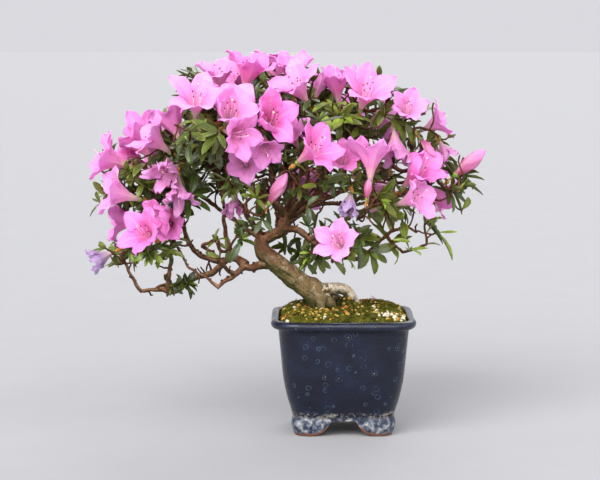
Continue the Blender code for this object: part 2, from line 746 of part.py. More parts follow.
def bloom(foot, axis, turn, size, opening):
    """An open funnel of five lobes with a wall that thins to its edge."""
    side, other = square_to(axis, turn)
    depth = BLOOM_DEPTH * size * (1 + CLOSED_STRETCH * (1 - opening))
    radius = BLOOM_RADIUS * size * opening

    def at(angle, place):
        out, along = place
        return foot + axis * along * depth + (side * math.cos(angle) + other * math.sin(angle)) * out * radius

    points = [foot.copy(), at(0, THROAT)]
    faces = []
    lobe = 2 * math.pi / BLOOM_LOBES
    for k in range(BLOOM_LOBES):
        centre = k * lobe
        points.append(at(centre - lobe / 2, LOBE_NOTCH))
        points.append(at(centre - lobe * SHOULDER_TURN, LOBE_SHOULDER))
        points.append(at(centre, LOBE_TIP))
        points.append(at(centre + lobe * SHOULDER_TURN, LOBE_SHOULDER))
        points.append(at(centre, LOBE_OUTSIDE))
        points.append(at(centre, LOBE_INSIDE))
    for k in range(BLOOM_LOBES):
        notch, left, tip, right, outer, inner = range(2 + 6 * k, 8 + 6 * k)
        next_notch = 2 + 6 * ((k + 1) % BLOOM_LOBES)
        for pole, middle in ((0, outer), (1, inner)):
            faces.append((pole, notch, middle))
            faces.append((notch, left, middle))
            faces.append((left, tip, middle))
            faces.append((tip, right, middle))
            faces.append((right, next_notch, middle))
            faces.append((next_notch, pole, middle))
    return solid(points, faces)


def spindle(foot, axis, turn, rings, length, size):
    """A pointed solid through rings, each a share of the length and a radius."""
    side, other = square_to(axis, turn)
    points = []
    for share, radius in rings:
        points += circle(foot + axis * share * length * size, side, other, radius * size, SPINDLE_SIDES)
    faces = bands(len(rings), SPINDLE_SIDES)
    start = len(points)
    points += [foot.copy(), foot + axis * length * size]
    for i in range(SPINDLE_SIDES):
        j = (i + 1) % SPINDLE_SIDES
        faces.append((start, i, j))
        faces.append((start + 1, start - SPINDLE_SIDES + i, start - SPINDLE_SIDES + j))
    return solid(points, faces)


def blossom(tip, opening):
    """The bloom, bud or faded bloom of a tip."""
    if tip.kind == "open":
        return bloom(tip.place, tip.way, tip.turn, tip.size, opening)
    if tip.kind == "bud":
        return spindle(tip.place, tip.way, tip.turn, BUD_RINGS, BUD_LENGTH, tip.size)
    return spindle(tip.place, tip.way, tip.turn, FADED_RINGS, FADED_LENGTH, tip.size)


class Tip:
    """The end of one twig, with the blossom or the sprig of leaves that it carries."""

    def __init__(self, kind, place, way, size, seed):
        self.kind = kind
        self.place = Vector(place)
        self.way = way
        self.size = size
        self.rng = random.Random(seed)
        self.turn = self.rng.uniform(0, 2 * math.pi)
        self.twig = None
        self.shape = None


def shown_tips(name):
    """The tips of a mass that the photograph shows."""
    tips = []
    for kind, place, turn, rise, size in BLOSSOM.get(name, ()):
        tips.append(Tip(kind, place, aim(turn, rise), size, f"{name} bloom {len(tips)}"))
    for place, turn, rise in SPRIGS.get(name, ()):
        tips.append(Tip("sprig", place, aim(turn, rise), 1.0, f"{name} sprig {len(tips)}"))
    return tips


def seeded_tips(mass):
    """Tips spread over a mass's space, mostly on its outward side, the sprigs after a bloom."""
    name, _, middle, half_sizes, seeded_blooms, seeded_sprigs = mass
    middle = Vector(middle)
    outward = (middle - CROWN_MIDDLE).normalized()
    total = seeded_blooms + seeded_sprigs
    start = random.Random(name).uniform(0, 2 * math.pi)
    tips = []
    for i in range(total):
        height = 1 - (2 * i + 1) / total
        ring = math.sqrt(1 - height * height)
        angle = start + i * GOLDEN_ANGLE
        way = Vector((ring * math.cos(angle), ring * math.sin(angle), height))
        way = (way + outward * OUTWARD_LEAN + Vector((0, 0, UPWARD_LEAN))).normalized()
        kind = "sprig" if 1 <= i <= seeded_sprigs else "open"
        reach = SPRIG_REACH if kind == "sprig" else BLOOM_REACH
        place = middle + Vector([way[k] * half_sizes[k] * reach for k in range(3)])
        tips.append(Tip(kind, place, way, 1.0, f"{name} seeded {i}"))
    return tips


def stem_path(mass, ends):
    """From just inside the end of the mass's bough to the middle of its space."""
    end, way, radius = ends[mass[1]]
    middle = Vector(mass[2])
    knee = end + way * (middle - end).length * STEM_KNEE
    return smooth([end - way * 2 * GAP, knee, end.lerp(middle, STEM_END)], STEM_STEPS), radius


def even_taper(foot_radius, end_radius, count):
    """Radii that go evenly from one to the other."""
    return [foot_radius + (end_radius - foot_radius) * i / (count - 1) for i in range(count)]


def twig_path(joint, joint_way, tip, bulge):
    """A curved twig that leaves its joint forwards and arrives along the tip's heading."""
    reach = (tip.place - joint).length
    leave = joint + joint_way * reach * TWIG_LEAVE + bulge
    arrive = tip.place - tip.way * reach * TWIG_ARRIVE + bulge
    path = []
    for step in range(TWIG_STEPS + 1):
        t = step / TWIG_STEPS
        u = 1 - t
        path.append(u ** 3 * joint + 3 * t * u ** 2 * leave + 3 * t ** 2 * u * arrive + t ** 3 * tip.place)
    return path


def grow_twigs(name, stem, tips, guard):
    """Branch to the tips in order of their distance, each from the nearest wood so far."""
    joints = [(stem[i], (stem[i] - stem[i - 1]).normalized()) for i in range(1, len(stem))]
    radii = even_taper(TWIG_RADIUS, TWIG_END_RADIUS, TWIG_STEPS + 1)
    for tip in sorted(tips, key=lambda t: (t.place - stem[0]).length):
        aimed = tip.place - tip.way * TWIG_AIM_BACK
        ranked = sorted(joints, key=lambda j: (j[0] - aimed).length)
        for attempt in range(TWIG_TRIES):
            joint, joint_way = ranked[min(attempt // TRIES_FROM_A_JOINT, len(ranked) - 1)]
            bulge = Vector([tip.rng.uniform(-1, 1) for _ in range(3)]) * TWIG_BEND * (attempt + 1)
            path = twig_path(joint, joint_way, tip, bulge)
            end = path[-1] if tip.kind == "sprig" else path[-1] + tip.way * TWIG_INTO_BLOOM * tip.size
            twig = tube(path[:-1] + [end], radii, TWIG_SIDES)
            if guard.blocks(twig, name):
                continue
            tip.twig = twig
            guard.add(name, "twig", twig)
            joints.append((path[1], (path[1] - path[0]).normalized()))
            break


def place_blossom(name, tips, guard):
    """The tips of a mass that have room, each with its blossom as wide open as that allows."""
    placed = []
    for tip in tips:
        if tip.kind == "sprig":
            placed.append(tip)
            continue
        for opening in BLOOM_OPENINGS:
            shape = blossom(tip, opening)
            if guard.blocks(shape, name, own_kinds=("blossom",)):
                continue
            tip.shape = shape
            guard.add(name, "blossom", shape)
            placed.append(tip)
            break
    return placed


def leaves_of(tip, mass, guard):
    """Leaves round a tip's twig, less those that leave the mass's space or touch a neighbour."""
    name, _, middle, half_sizes, _, _ = mass
    on_sprig = tip.kind == "sprig"
    first = FIRST_LEAF_ON_SPRIG if on_sprig else FIRST_LEAF_UNDER_BLOOM
    leaves = []
    for i in range(LEAVES_ON_SPRIG if on_sprig else LEAVES_UNDER_BLOOM):
        root = tip.place - tip.way * (first + i * LEAF_SPACING)
        side, _ = square_to(tip.way, tip.turn + i * GOLDEN_ANGLE)
        spread = math.radians(tip.rng.uniform(*LEAF_SPREADS))
        way = (tip.way * math.cos(spread) + side * math.sin(spread)).normalized()
        shape = leaf(root, way, tip.rng.uniform(*LEAF_SIZES))
        end = shape[0][1]
        if any(abs(end[k] - middle[k]) > half_sizes[k] for k in range(3)):
            continue
        if guard.blocks(shape, name, own_kinds=("blossom",)):
            continue
        guard.add(name, "leaf", shape)
        leaves.append(shape)
    return leaves


def make_masses(ends, guard, cutters):
    """Every mass: blossom first, then twigs, then leaves, each fused into one skin."""
    tips = {mass[0]: place_blossom(mass[0], shown_tips(mass[0]), guard) for mass in MASSES}
    for mass in MASSES:
        tips[mass[0]] += place_blossom(mass[0], seeded_tips(mass), guard)
    paths = {}
    stems = {}
    for mass in MASSES:
        path, radius = stem_path(mass, ends)
        paths[mass[0]] = path
        stems[mass[0]] = tube(path, even_taper(radius, TWIG_RADIUS, len(path)), STEM_SIDES)
        guard.add(mass[0], "twig", stems[mass[0]])
    for name, path in paths.items():
        grow_twigs(name, path, tips[name], guard)
    return [fuse_mass(mass, stems[mass[0]], tips[mass[0]], guard, cutters) for mass in MASSES]


def fuse_mass(mass, stem, tips, guard, cutters):
    """One skin round a mass's stem, twigs, blossom and leaves, clear of the wood at its foot."""
    pieces = [stem]
    for tip in tips:
        if tip.twig is None:
            continue
        pieces.append(tip.twig)
        if tip.shape is not None:
            pieces.append(tip.shape)
        pieces += leaves_of(tip, mass, guard)
    fused = combine(mass[0] + "_fused", "UNION", pieces)
    obj = cut_clear(mass[0], shape_of(fused), stem, cutters)
    bpy.data.objects.remove(fused)
    return obj


# Finish

def material(name):
    """A plain material from the table of materials."""
    colour, roughness = MATERIALS[name]
    result = bpy.data.materials.new(name)
    result.use_nodes = True
    shader = result.node_tree.nodes["Principled BSDF"]
    shader.inputs["Base Color"].default_value = (*colour, 1)
    shader.inputs["Roughness"].default_value = roughness
    result.diffuse_color = (*colour, 1)
    return result


def finish(objects_by_material):
    """Give out the materials, turn millimetres into metres and put the origin in its place.

    The origin is under the middle of the whole plant's box, on the table.
    """
    objects = [obj for group in objects_by_material.values() for obj in group]
    low, high = extent([v.co for obj in objects for v in obj.data.vertices])
    origin = Vector(((low.x + high.x) / 2, (low.y + high.y) / 2, low.z))
    place = Matrix.Scale(METRES, 4) @ Matrix.Translation(-origin)
    for name, group in objects_by_material.items():
        surface = material(name)
        for obj in group:
            obj.data.transform(place)
            obj.data.materials.append(surface)
            for face in obj.data.polygons:
                face.material_index = 0


def main():
    for obj in list(bpy.data.objects):
        bpy.data.objects.remove(obj)
    pot = make_pot()
    soil = make_soil()
    trunk, cutters = make_trunk()
    boughs, ends = make_boughs(cutters)
    guard = Guard()
    for obj in (pot, soil, trunk, *boughs.values()):
        guard.add(obj.name, "firm", shape_of(obj))
    masses = make_masses(ends, guard, cutters)
    flowering = {name for name, _, _, _, blooms, _ in MASSES if name in BLOSSOM or blooms > 0}
    finish({
        "glaze": [pot],
        "moss": [soil],
        "bark": [trunk, *boughs.values()],
        "blossom": [obj for obj in masses if obj.name in flowering],
        "foliage": [obj for obj in masses if obj.name not in flowering],
    })


main()
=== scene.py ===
# %% [markdown]
# # A small azalea bonsai in full flower
#
# The plain solids of this plant already hold its size, the line of its trunk and the place of every
# bough and mass. This lesson dresses them. Each solid is replaced by what the real thing shows:
# a glazed pot, moss and grit, bark, fine twigs, leaves and blooms.

# %% Load the plain solids
import json
import math
import random

import bmesh
import bpy
import numpy as np
from mathutils import Matrix, Vector, noise
from mathutils.bvhtree import BVHTree
from mathutils.kdtree import KDTree

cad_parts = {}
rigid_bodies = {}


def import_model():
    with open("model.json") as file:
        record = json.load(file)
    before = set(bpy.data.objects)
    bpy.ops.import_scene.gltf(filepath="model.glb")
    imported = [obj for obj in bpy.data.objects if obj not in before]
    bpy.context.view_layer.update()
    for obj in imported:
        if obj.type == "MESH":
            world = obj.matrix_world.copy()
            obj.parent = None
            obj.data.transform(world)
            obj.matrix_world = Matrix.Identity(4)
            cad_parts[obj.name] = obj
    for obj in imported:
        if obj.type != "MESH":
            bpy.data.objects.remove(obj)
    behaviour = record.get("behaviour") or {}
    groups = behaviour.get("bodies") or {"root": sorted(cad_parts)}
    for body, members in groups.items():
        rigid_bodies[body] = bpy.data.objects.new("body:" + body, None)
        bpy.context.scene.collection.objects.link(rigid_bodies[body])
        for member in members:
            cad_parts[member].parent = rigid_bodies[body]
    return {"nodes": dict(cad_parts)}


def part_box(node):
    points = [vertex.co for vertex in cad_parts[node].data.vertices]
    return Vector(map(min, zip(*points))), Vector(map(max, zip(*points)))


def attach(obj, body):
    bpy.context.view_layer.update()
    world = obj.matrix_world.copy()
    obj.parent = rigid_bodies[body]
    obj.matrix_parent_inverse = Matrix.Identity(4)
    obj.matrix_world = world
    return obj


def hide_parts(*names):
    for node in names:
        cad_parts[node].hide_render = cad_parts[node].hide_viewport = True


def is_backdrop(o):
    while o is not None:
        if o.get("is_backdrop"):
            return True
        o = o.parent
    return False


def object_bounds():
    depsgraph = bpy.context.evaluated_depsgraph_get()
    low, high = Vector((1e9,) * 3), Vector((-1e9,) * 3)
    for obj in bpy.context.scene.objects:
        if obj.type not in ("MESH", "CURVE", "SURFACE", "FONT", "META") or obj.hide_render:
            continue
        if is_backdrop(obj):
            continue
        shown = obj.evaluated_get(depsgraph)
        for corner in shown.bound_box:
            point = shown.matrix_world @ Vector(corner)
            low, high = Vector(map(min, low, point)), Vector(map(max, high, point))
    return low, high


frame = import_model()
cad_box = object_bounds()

# Noise vectors start from the clock unless they get a seed, and each run would bend the twigs anew
noise.seed_set(12)

MASS_NODES = [name for name in frame["nodes"] if name.startswith("mass_")]
BOUGH_NODES = [name for name in frame["nodes"] if name.startswith("bough_")]
print("masses:", len(MASS_NODES), "boughs:", len(BOUGH_NODES))

# %% [markdown]
# ## One place for everything
#
# A gardener measures a bonsai from its pot, in millimetres, so this lesson does too. Everything is
# made round the middle of the pot's underside, and one matrix then brings each finished mesh to its
# place in the frame, in metres. The objects themselves stay at the origin, unturned and unscaled, so
# that a pattern in object coordinates keeps still.

# %% From the pot's middle to the frame
pot_low, pot_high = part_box("pot")
POT_MIDDLE = Vector(((pot_low.x + pot_high.x) / 2, (pot_low.y + pot_high.y) / 2, 0))
TO_FRAME = Matrix.Translation(POT_MIDDLE) @ Matrix.Scale(0.001, 4)
FULL_TURN = 2 * math.pi


def linked(name, data):
    """An object of the scene round a mesh, a camera or a lamp."""
    obj = bpy.data.objects.new(name, data)
    bpy.context.scene.collection.objects.link(obj)
    return obj


def store(mesh, name, values, kind="FLOAT", domain="POINT"):
    """Keep a number or a vector for each point or face of a mesh."""
    key = "vector" if kind == "FLOAT_VECTOR" else "value"
    mesh.attributes.new(name, kind, domain).data.foreach_set(key, values)


def new_object(name, points, faces, zones=None, uv=None):
    """An object from points in millimetres, with a number for each face's zone and a UV map."""
    mesh = bpy.data.meshes.new(name)
    mesh.from_pydata([tuple(p) for p in points], [], faces)
    if zones is not None:
        store(mesh, "zone", zones, "INT", "FACE")
    if uv is not None:
        corners = np.zeros(len(mesh.loops), int)
        mesh.loops.foreach_get("vertex_index", corners)
        mesh.uv_layers.new(name="sheet").data.foreach_set("uv", np.array(uv, float)[corners].ravel())
    return linked(name, mesh)


def turn_faces_out(obj):
    """Point the faces of every closed island outwards."""
    mesh = bmesh.new()
    mesh.from_mesh(obj.data)
    bmesh.ops.recalc_face_normals(mesh, faces=mesh.faces[:])
    mesh.to_mesh(obj.data)
    mesh.free()


def keep_result(obj):
    """Give an object what its modifiers make as its plain mesh."""
    evaluated = obj.evaluated_get(bpy.context.evaluated_depsgraph_get())
    mesh = bpy.data.meshes.new_from_object(evaluated)
    obj.modifiers.clear()
    obj.data = mesh
    return obj


def settle(obj, nodes):
    """Bring a finished piece to its place, hang it on the plant's body and hide the solids that it replaces.
    """
    obj.data.transform(TO_FRAME)
    obj.data.shade_smooth()
    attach(obj, "root")
    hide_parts(*nodes)
    corners = np.zeros(len(obj.data.polygons), int)
    obj.data.polygons.foreach_get("loop_total", corners)
    print(obj.name, "triangles:", int((corners - 2).sum()))


# %% [markdown]
# ## A short way to write node trees
#
# Geometry nodes and shader nodes are both trees of boxes joined by links. Written out in full, each
# link is a line of its own, and the idea is lost. These small classes add a node and feed its inputs
# in one call. A geometry tree also keeps the identifier of each of its inputs, because a modifier's
# inputs are set by identifier and not by name.

# %% Helpers for node trees
class Tree:
    """Short ways to add nodes, for both kinds of tree."""

    def add(self, kind, links, **settings):
        """A node with its settings, each named input fed by a socket or a value."""
        node = self.tree.nodes.new(kind)
        for key, value in settings.items():
            setattr(node, key, value)
        for key, source in links.items():
            if isinstance(source, bpy.types.NodeSocket):
                self.tree.links.new(source, node.inputs[key])
            else:
                node.inputs[key].default_value = source
        return node

    def out(self, kind, links, **settings):
        """The first output of a new node."""
        return self.add(kind, links, **settings).outputs[0]

    def math(self, operation, first, second=0.0):
        return self.out("ShaderNodeMath", {0: first, 1: second}, operation=operation)

    def plus(self, first, second):
        return self.math("ADD", first, second)

    def minus(self, first, second):
        return self.math("SUBTRACT", first, second)

    def times(self, first, second):
        return self.math("MULTIPLY", first, second)

    def scaled(self, vector, factor):
        return self.out("ShaderNodeVectorMath", {0: vector, "Scale": factor}, operation="SCALE")


class Shaper(Tree):
    """A geometry node tree with named inputs."""

    def __init__(self, name):
        self.tree = bpy.data.node_groups.new(name, "GeometryNodeTree")
        for side in ("INPUT", "OUTPUT"):
            self.tree.interface.new_socket(name="Geometry", in_out=side, socket_type="NodeSocketGeometry")
        self.start = self.tree.nodes.new("NodeGroupInput")
        self.end = self.tree.nodes.new("NodeGroupOutput")
        self.shape = self.start.outputs["Geometry"]
        self.identifiers = {}

    def input(self, name, kind):
        socket = self.tree.interface.new_socket(name=name, in_out="INPUT", socket_type="NodeSocket" + kind)
        self.identifiers[name] = socket.identifier
        return self.start.outputs[name]

    def read(self, name, kind="FLOAT"):
        """A number or a vector that is stored on the geometry."""
        return self.out("GeometryNodeInputNamedAttribute", {"Name": name}, data_type=kind)

    def copies(self, points, shapes, pick, turn, size):
        """One of a collection's shapes on every point, by its number, its turn and its size."""
        links = {"Collection": shapes, "Separate Children": True, "Reset Children": True}
        links = {"Points": points, "Instance": self.out("GeometryNodeCollectionInfo", links)}
        links.update({"Pick Instance": True, "Instance Index": pick, "Rotation": turn, "Scale": size})
        return self.out("GeometryNodeInstanceOnPoints", links)

    def finish(self, geometry, *finishes):
        """End in real geometry with one material, or with one for each face zone."""
        result = self.out("GeometryNodeRealizeInstances", {"Geometry": geometry})
        for zone, finish in enumerate(finishes):
            links = {"Geometry": result, "Material": finish}
            if len(finishes) > 1:
                pair = {2: self.read("zone", "INT"), 3: zone}
                same = self.out("FunctionNodeCompare", pair, data_type="INT", operation="EQUAL")
                links["Selection"] = same
            result = self.out("GeometryNodeSetMaterial", links)
        self.tree.links.new(result, self.end.inputs["Geometry"])
        return self

    def run(self, obj, **values):
        """Put the tree on an object with these inputs and keep what it makes as a plain mesh."""
        modifier = obj.modifiers.new("shaper", "NODES")
        modifier.node_group = self.tree
        for name, value in values.items():
            modifier[self.identifiers[name.replace("_", " ")]] = value
        return keep_result(obj)


class Paint(Tree):
    """A material with short ways to add patterns. Pattern sizes are in millimetres."""

    def __init__(self, name, roughness, **sockets):
        self.material = bpy.data.materials.new(name)
        self.material.use_nodes = True
        self.tree = self.material.node_tree
        self.shader = self.tree.nodes["Principled BSDF"]
        self.shader.inputs["Roughness"].default_value = roughness
        for key, value in sockets.items():
            self.shader.inputs[key.replace("_", " ")].default_value = value
        self.place = self.add("ShaderNodeTexCoord", {}).outputs["Object"]

    def height(self):
        """How high each place is, in millimetres."""
        parts = self.add("ShaderNodeSeparateXYZ", {"Vector": self.place})
        return self.times(parts.outputs["Z"], 1000.0)

    def noise(self, size, detail=3.0):
        links = {"Vector": self.place, "Scale": 1000 / size, "Detail": detail}
        return self.out("ShaderNodeTexNoise", links)

    def ramp(self, factor, *stops):
        """A colour for each place of the factor, straight between the stops (place, colour)."""
        node = self.add("ShaderNodeValToRGB", {"Fac": factor})
        elements = node.color_ramp.elements
        while len(elements) < len(stops):
            elements.new(0.5)
        for element, (place, colour) in zip(elements, stops):
            element.position = place
            element.color = (*colour, 1)
        return node.outputs["Color"]

    def range(self, value, low, high):
        """The value brought to between 0 and 1."""
        return self.out("ShaderNodeMapRange", {"Value": value, "From Min": low, "From Max": high})

    def mix(self, factor, *colours):
        """From the first colour at 0 to the second at 1."""
        first, second = (c if isinstance(c, bpy.types.NodeSocket) else (*c, 1) for c in colours)
        links = {"Factor": factor, 6: first, 7: second}
        return self.add("ShaderNodeMix", links, data_type="RGBA").outputs[2]

    def feed(self, name, source):
        """Link a socket to an input of the shader."""
        self.tree.links.new(source, self.shader.inputs[name])

    def bump(self, height, depth):
        """Relief that light shows, this many millimetres deep."""
        self.feed("Normal", self.out("ShaderNodeBump", {"Height": height, "Distance": depth * 0.001}))

    def glow(self, colour, share):
        """Let this share of the light through, as a petal or a young leaf does."""
        through = self.out("ShaderNodeBsdfTranslucent", {"Color": colour})
        both = self.out("ShaderNodeMixShader", {0: share, 1: self.shader.outputs[0], 2: through})
        self.tree.links.new(both, self.tree.nodes["Material Output"].inputs["Surface"])


def tinted(colour, factor):
    """A darker or lighter colour."""
    return tuple(min(1.0, c * factor) for c in colour)


# %% [markdown]
# ## Camera, light and floor
#
# The camera comes first, because leaves are later kept out of the gaps that it should see through.
# The picture looks slightly down from a little above the crown with a long lens, so that the pot's
# sides hardly converge. The light is that of a pale room. A sun lamp lights floor and plant evenly,
# and its angle makes it as soft as a large studio lamp. The main one stands in front on the left, a
# weaker one on the right, and a low one in front reaches under the crown. One behind shines through
# the petals. A pale sky fills the shadows, and the floor is a wide disc of nearly the same shade.

# %% Camera, lamps and floor
CAMERA = Vector((-33.2, -1538.0, 299.0))
CAMERA_PITCH = 5.65

camera = linked("camera", bpy.data.cameras.new("camera"))
camera.data.lens = 120.0
camera.data.sensor_width = 36.0
camera.data.clip_start = 0.05
camera.data.clip_end = 200.0
camera.location = TO_FRAME @ CAMERA
camera.rotation_euler = (math.radians(90 - CAMERA_PITCH), 0, 0)
bpy.context.scene.camera = camera
bpy.context.scene.view_settings.view_transform = "Standard"

# Each lamp: where it shines from, its width in degrees and its strength
LAMPS = {
    "key": ((-0.50, -0.90, 0.80), 45, 2.7),
    "fill": ((0.90, -0.80, 0.45), 80, 1.6),
    "front": ((-0.30, -1.00, 0.15), 90, 3.1),
    "back": ((0.15, 0.90, 0.80), 40, 0.9),
}
for name, (way, width, strength) in LAMPS.items():
    lamp = linked(name, bpy.data.lights.new(name, "SUN"))
    lamp.data.angle = math.radians(width)
    lamp.data.energy = strength
    lamp.rotation_euler = (-Vector(way)).to_track_quat("-Z", "Y").to_euler()

world = bpy.data.worlds.new("pale_sky")
world.use_nodes = True
background = world.node_tree.nodes["Background"].inputs
background["Color"].default_value = (0.70, 0.70, 0.74, 1)
background["Strength"].default_value = 1.0
bpy.context.scene.world = world

FLOOR_RADIUS = 60000.0
FLOOR_STOPS = ((0.3, (0.343, 0.343, 0.354)), (0.7, (0.352, 0.352, 0.363)))
angles = np.linspace(0, FULL_TURN, 97)[:-1]
rim = [(FLOOR_RADIUS * math.cos(a), FLOOR_RADIUS * math.sin(a), 0) for a in angles]
floor = new_object("floor", rim, [tuple(range(len(rim)))])
floor_paint = Paint("pale_floor", 0.85)
floor_paint.feed("Base Color", floor_paint.ramp(floor_paint.noise(60), *FLOOR_STOPS))
floor.data.materials.append(floor_paint.material)
floor.data.transform(TO_FRAME)
floor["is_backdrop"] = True
print("camera at", tuple(round(c, 3) for c in camera.location))

# %% [markdown]
# ## The pot
#
# The pot is stoneware, pressed in a mould and dipped in a dark blue glaze. Its walls swell from a
# crease above the feet to a rolled lip. A box with a bevel would miss the lip's soft roll and the
# arches between the feet. It is lofted instead: one section, from the drain hole round the outside
# and over the lip to the floor inside, is repeated round a square with rounded corners. The lip was
# pressed by hand, so each ring there is moved a little by a slow noise.

# %% The pot's section and its loft
RIM_TOP = 90.0
RIM_HALF = 55.0
RIM_CORNER = 21.0
WALL = 6.0
BODY_PROFILE = ((15.4, 38.8), (16.4, 39.3), (20.0, 40.3), (29.5, 43.1), (44.0, 46.0), (65.0, 48.1),
                (82.0, 49.8))
BODY_CORNER_SHARE = 0.4
# Under the lip over its top to the inside: distance below the top, distance in from the edge and
# how much is taken off the corner's radius
LIP_PROFILE = ((7.2, 4.8, 1.5), (7.0, 2.8, 1.0), (5.6, 0.9, 0.2), (3.4, 0.0, 0.0), (1.4, 0.5, 0.4),
               (0.2, 2.0, 1.0), (0.1, 4.2, 2.2), (1.2, 5.8, 3.6), (3.4, 6.3, 4.0))
LIP_SINK = Vector((0, 0, 0.25))
LIP_UNEVEN = 0.8
LIP_WAVE = 23.0
INSIDE_TOP = 80.0
FLOOR_TOP = 19.0
FLOOR_HALF = 27.0
FLOOR_CORNER = 11.0
UNDERSIDE = 13.0
DRAIN_RADIUS = 6.0
# Feet: height and half width of their outside at the table, at the bend and at the top
FOOT_ROWS = ((0.0, 36.8), (10.6, 38.7), (15.0, 38.8))
FOOT_TOP, FOOT_TOP_HALF = FOOT_ROWS[-1]
FOOT_SHARES = (1.0, 0.86, 0.72, 0.58, 0.44, 0.3, 0.15, 0.0)
FOOT_INNER_HALF = 27.0
FOOT_CORNER_SHARE = 0.3
FOOT_EDGE = 1.0
FOOT_BEVEL = 0.3
FOOT_BULGE = 1.5
ARCH_HEIGHT = 11.5
ARCH_TOP_HALF = 9.5
ARCH_BOTTOM_HALF = 25.0
ARC_STEPS = 14
SIDE_STEPS = 40
FAR_ABOVE = 20.0


def between(rows, steps):
    """Rows of numbers rounded into a smooth run, with this many steps between each two."""
    rows = np.array(rows, float)
    ends = np.vstack([2 * rows[0] - rows[1], rows, 2 * rows[-1] - rows[-2]])
    t = (np.arange(steps) / steps)[:, None]
    parts = []
    for a, b, c, d in zip(ends, ends[1:], ends[2:], ends[3:]):
        cubic = (2 * a - 5 * b + 4 * c - d) * t ** 2 + (3 * b - a - 3 * c + d) * t ** 3
        parts.append(0.5 * (2 * b + (c - a) * t + cubic))
    return np.vstack(parts + [rows[-1:]])


def rounded_square(half, corner, height):
    """Points round a square with rounded corners, anticlockwise from above."""
    corner = min(corner, half)
    flat = half - corner
    points = []
    for quarter in range(4):
        turn = Matrix.Rotation(quarter * math.pi / 2, 3, "Z")
        for step in range(SIDE_STEPS):
            points.append(turn @ Vector((half, -flat + 2 * flat * step / SIDE_STEPS, height)))
        for step in range(ARC_STEPS):
            angle = math.pi / 2 * step / ARC_STEPS
            x, y = flat + corner * math.cos(angle), flat + corner * math.sin(angle)
            points.append(turn @ Vector((x, y, height)))
    return points


def foot_share(point):
    """0 under the arch between two feet and 1 at the foot."""
    across = min(abs(point.x), abs(point.y))
    return min(max((across - ARCH_TOP_HALF) / (ARCH_BOTTOM_HALF - ARCH_TOP_HALF), 0.0), 1.0)


def arch(point):
    """How high the lower edge between the feet is at this point of a ring."""
    share = foot_share(point)
    return ARCH_HEIGHT * (1 - share) ** 1.8 * (1 - 0.35 * math.sin(math.pi * share))


def foot_rings():
    """Rings down the outside of the feet, round their lower edge and up their inside."""
    heights, halves = zip(*FOOT_ROWS)
    rings = []
    for share in FOOT_SHARES:
        ring = []
        for point in rounded_square(FOOT_TOP_HALF, FOOT_TOP_HALF * FOOT_CORNER_SHARE, 0):
            low = arch(point) + FOOT_EDGE
            height = low + (FOOT_TOP - low) * share
            half = np.interp(height, heights, halves)
            half += FOOT_BULGE * foot_share(point) * math.sin(math.pi * height / FOOT_TOP)
            ring.append(Vector((point.x, point.y, 0)) * (half / FOOT_TOP_HALF) + Vector((0, 0, height)))
        rings.append(ring)
    last = rings[-1]
    edge = [([p * (1 - inset / FOOT_ROWS[0][1]) for p in last], lift)
            for inset, lift in ((FOOT_BEVEL, FOOT_BEVEL), (FOOT_EDGE, 0.0))]
    edge += [(rounded_square(FOOT_INNER_HALF + out, (FOOT_INNER_HALF + out) * FOOT_CORNER_SHARE, 0), lift)
             for out, lift in ((FOOT_EDGE, 0.0), (FOOT_BEVEL, FOOT_BEVEL), (0.0, FOOT_EDGE))]
    for ring, lift in edge:
        for point in ring:
            point.z = arch(point) + lift
        rings.append(ring)
    rings.append(rounded_square(FOOT_INNER_HALF - 0.4, FOOT_INNER_HALF * FOOT_CORNER_SHARE, UNDERSIDE))
    return rings


def band(low, high, count):
    """Faces between two rings of this many points, given where each ring starts."""
    return [(low + i, low + (i + 1) % count, high + (i + 1) % count, high + i) for i in range(count)]


def loft(name, rings):
    """A skin through rings of the same count, closed back to the first."""
    count = len(rings[0])
    faces = []
    for ring in range(len(rings)):
        faces += band(ring * count, (ring + 1) % len(rings) * count, count)
    obj = new_object(name, [point for ring in rings for point in ring], faces)
    turn_faces_out(obj)
    return obj


pot_rings = []
for half, corner in ((DRAIN_RADIUS, DRAIN_RADIUS), (14.0, 7.0), (22.0, 11.0)):
    pot_rings.append(rounded_square(half, corner, UNDERSIDE))
underside_rings = len(pot_rings)
pot_rings += foot_rings()[::-1]
for height, half in between(BODY_PROFILE, 5):
    pot_rings.append(rounded_square(half, half * BODY_CORNER_SHARE, height))
for down, inward, less in between(LIP_PROFILE, 4):
    ring = rounded_square(RIM_HALF - inward, RIM_CORNER - less, RIM_TOP - down)
    pot_rings.append([p + LIP_UNEVEN * noise.noise_vector(p / LIP_WAVE) - LIP_SINK for p in ring])
for height, half in BODY_PROFILE[:2:-1]:
    corner = half * BODY_CORNER_SHARE - WALL / 2
    pot_rings.append(rounded_square(half - WALL, corner, min(height, INSIDE_TOP)))
pot_rings.append(rounded_square(FLOOR_HALF, FLOOR_CORNER, FLOOR_TOP))
pot_rings.append(rounded_square(DRAIN_RADIUS, DRAIN_RADIUS, FLOOR_TOP))
pot = loft("pot_glazed", pot_rings)
above_edge = []
for number, ring in enumerate(pot_rings):
    for point in ring:
        above = point.z - arch(point) if point.z < FOOT_TOP else FAR_ABOVE
        above_edge.append(above if number >= underside_rings else 0.0)
store(pot.data, "above_edge", above_edge)

# %% [markdown]
# ## Glaze
#
# The glaze is a very dark blue glass, nearly black where it is thick and bluer where it runs thin.
# Bubbles burst in it and left pits with pale rings. A Voronoi texture gives both: its distance is
# small at the pits and has a narrow band round each, and a noise bends the rings out of round. The
# lip is duller than the body and lighter towards its top, partly where the glaze runs thin over the
# edge and partly as a painted reflection of the pale room. A pale crust lines the crease above the
# feet. The feet were wiped, so their glaze is mottled with white, and low on them, at the edge, the
# bare clay shows. How far a point is above that edge was stored on the mesh for this.

# %% The glaze
CREASE = 16.4
RING_CELL = 7.5
RING_SMALLEST = 0.17

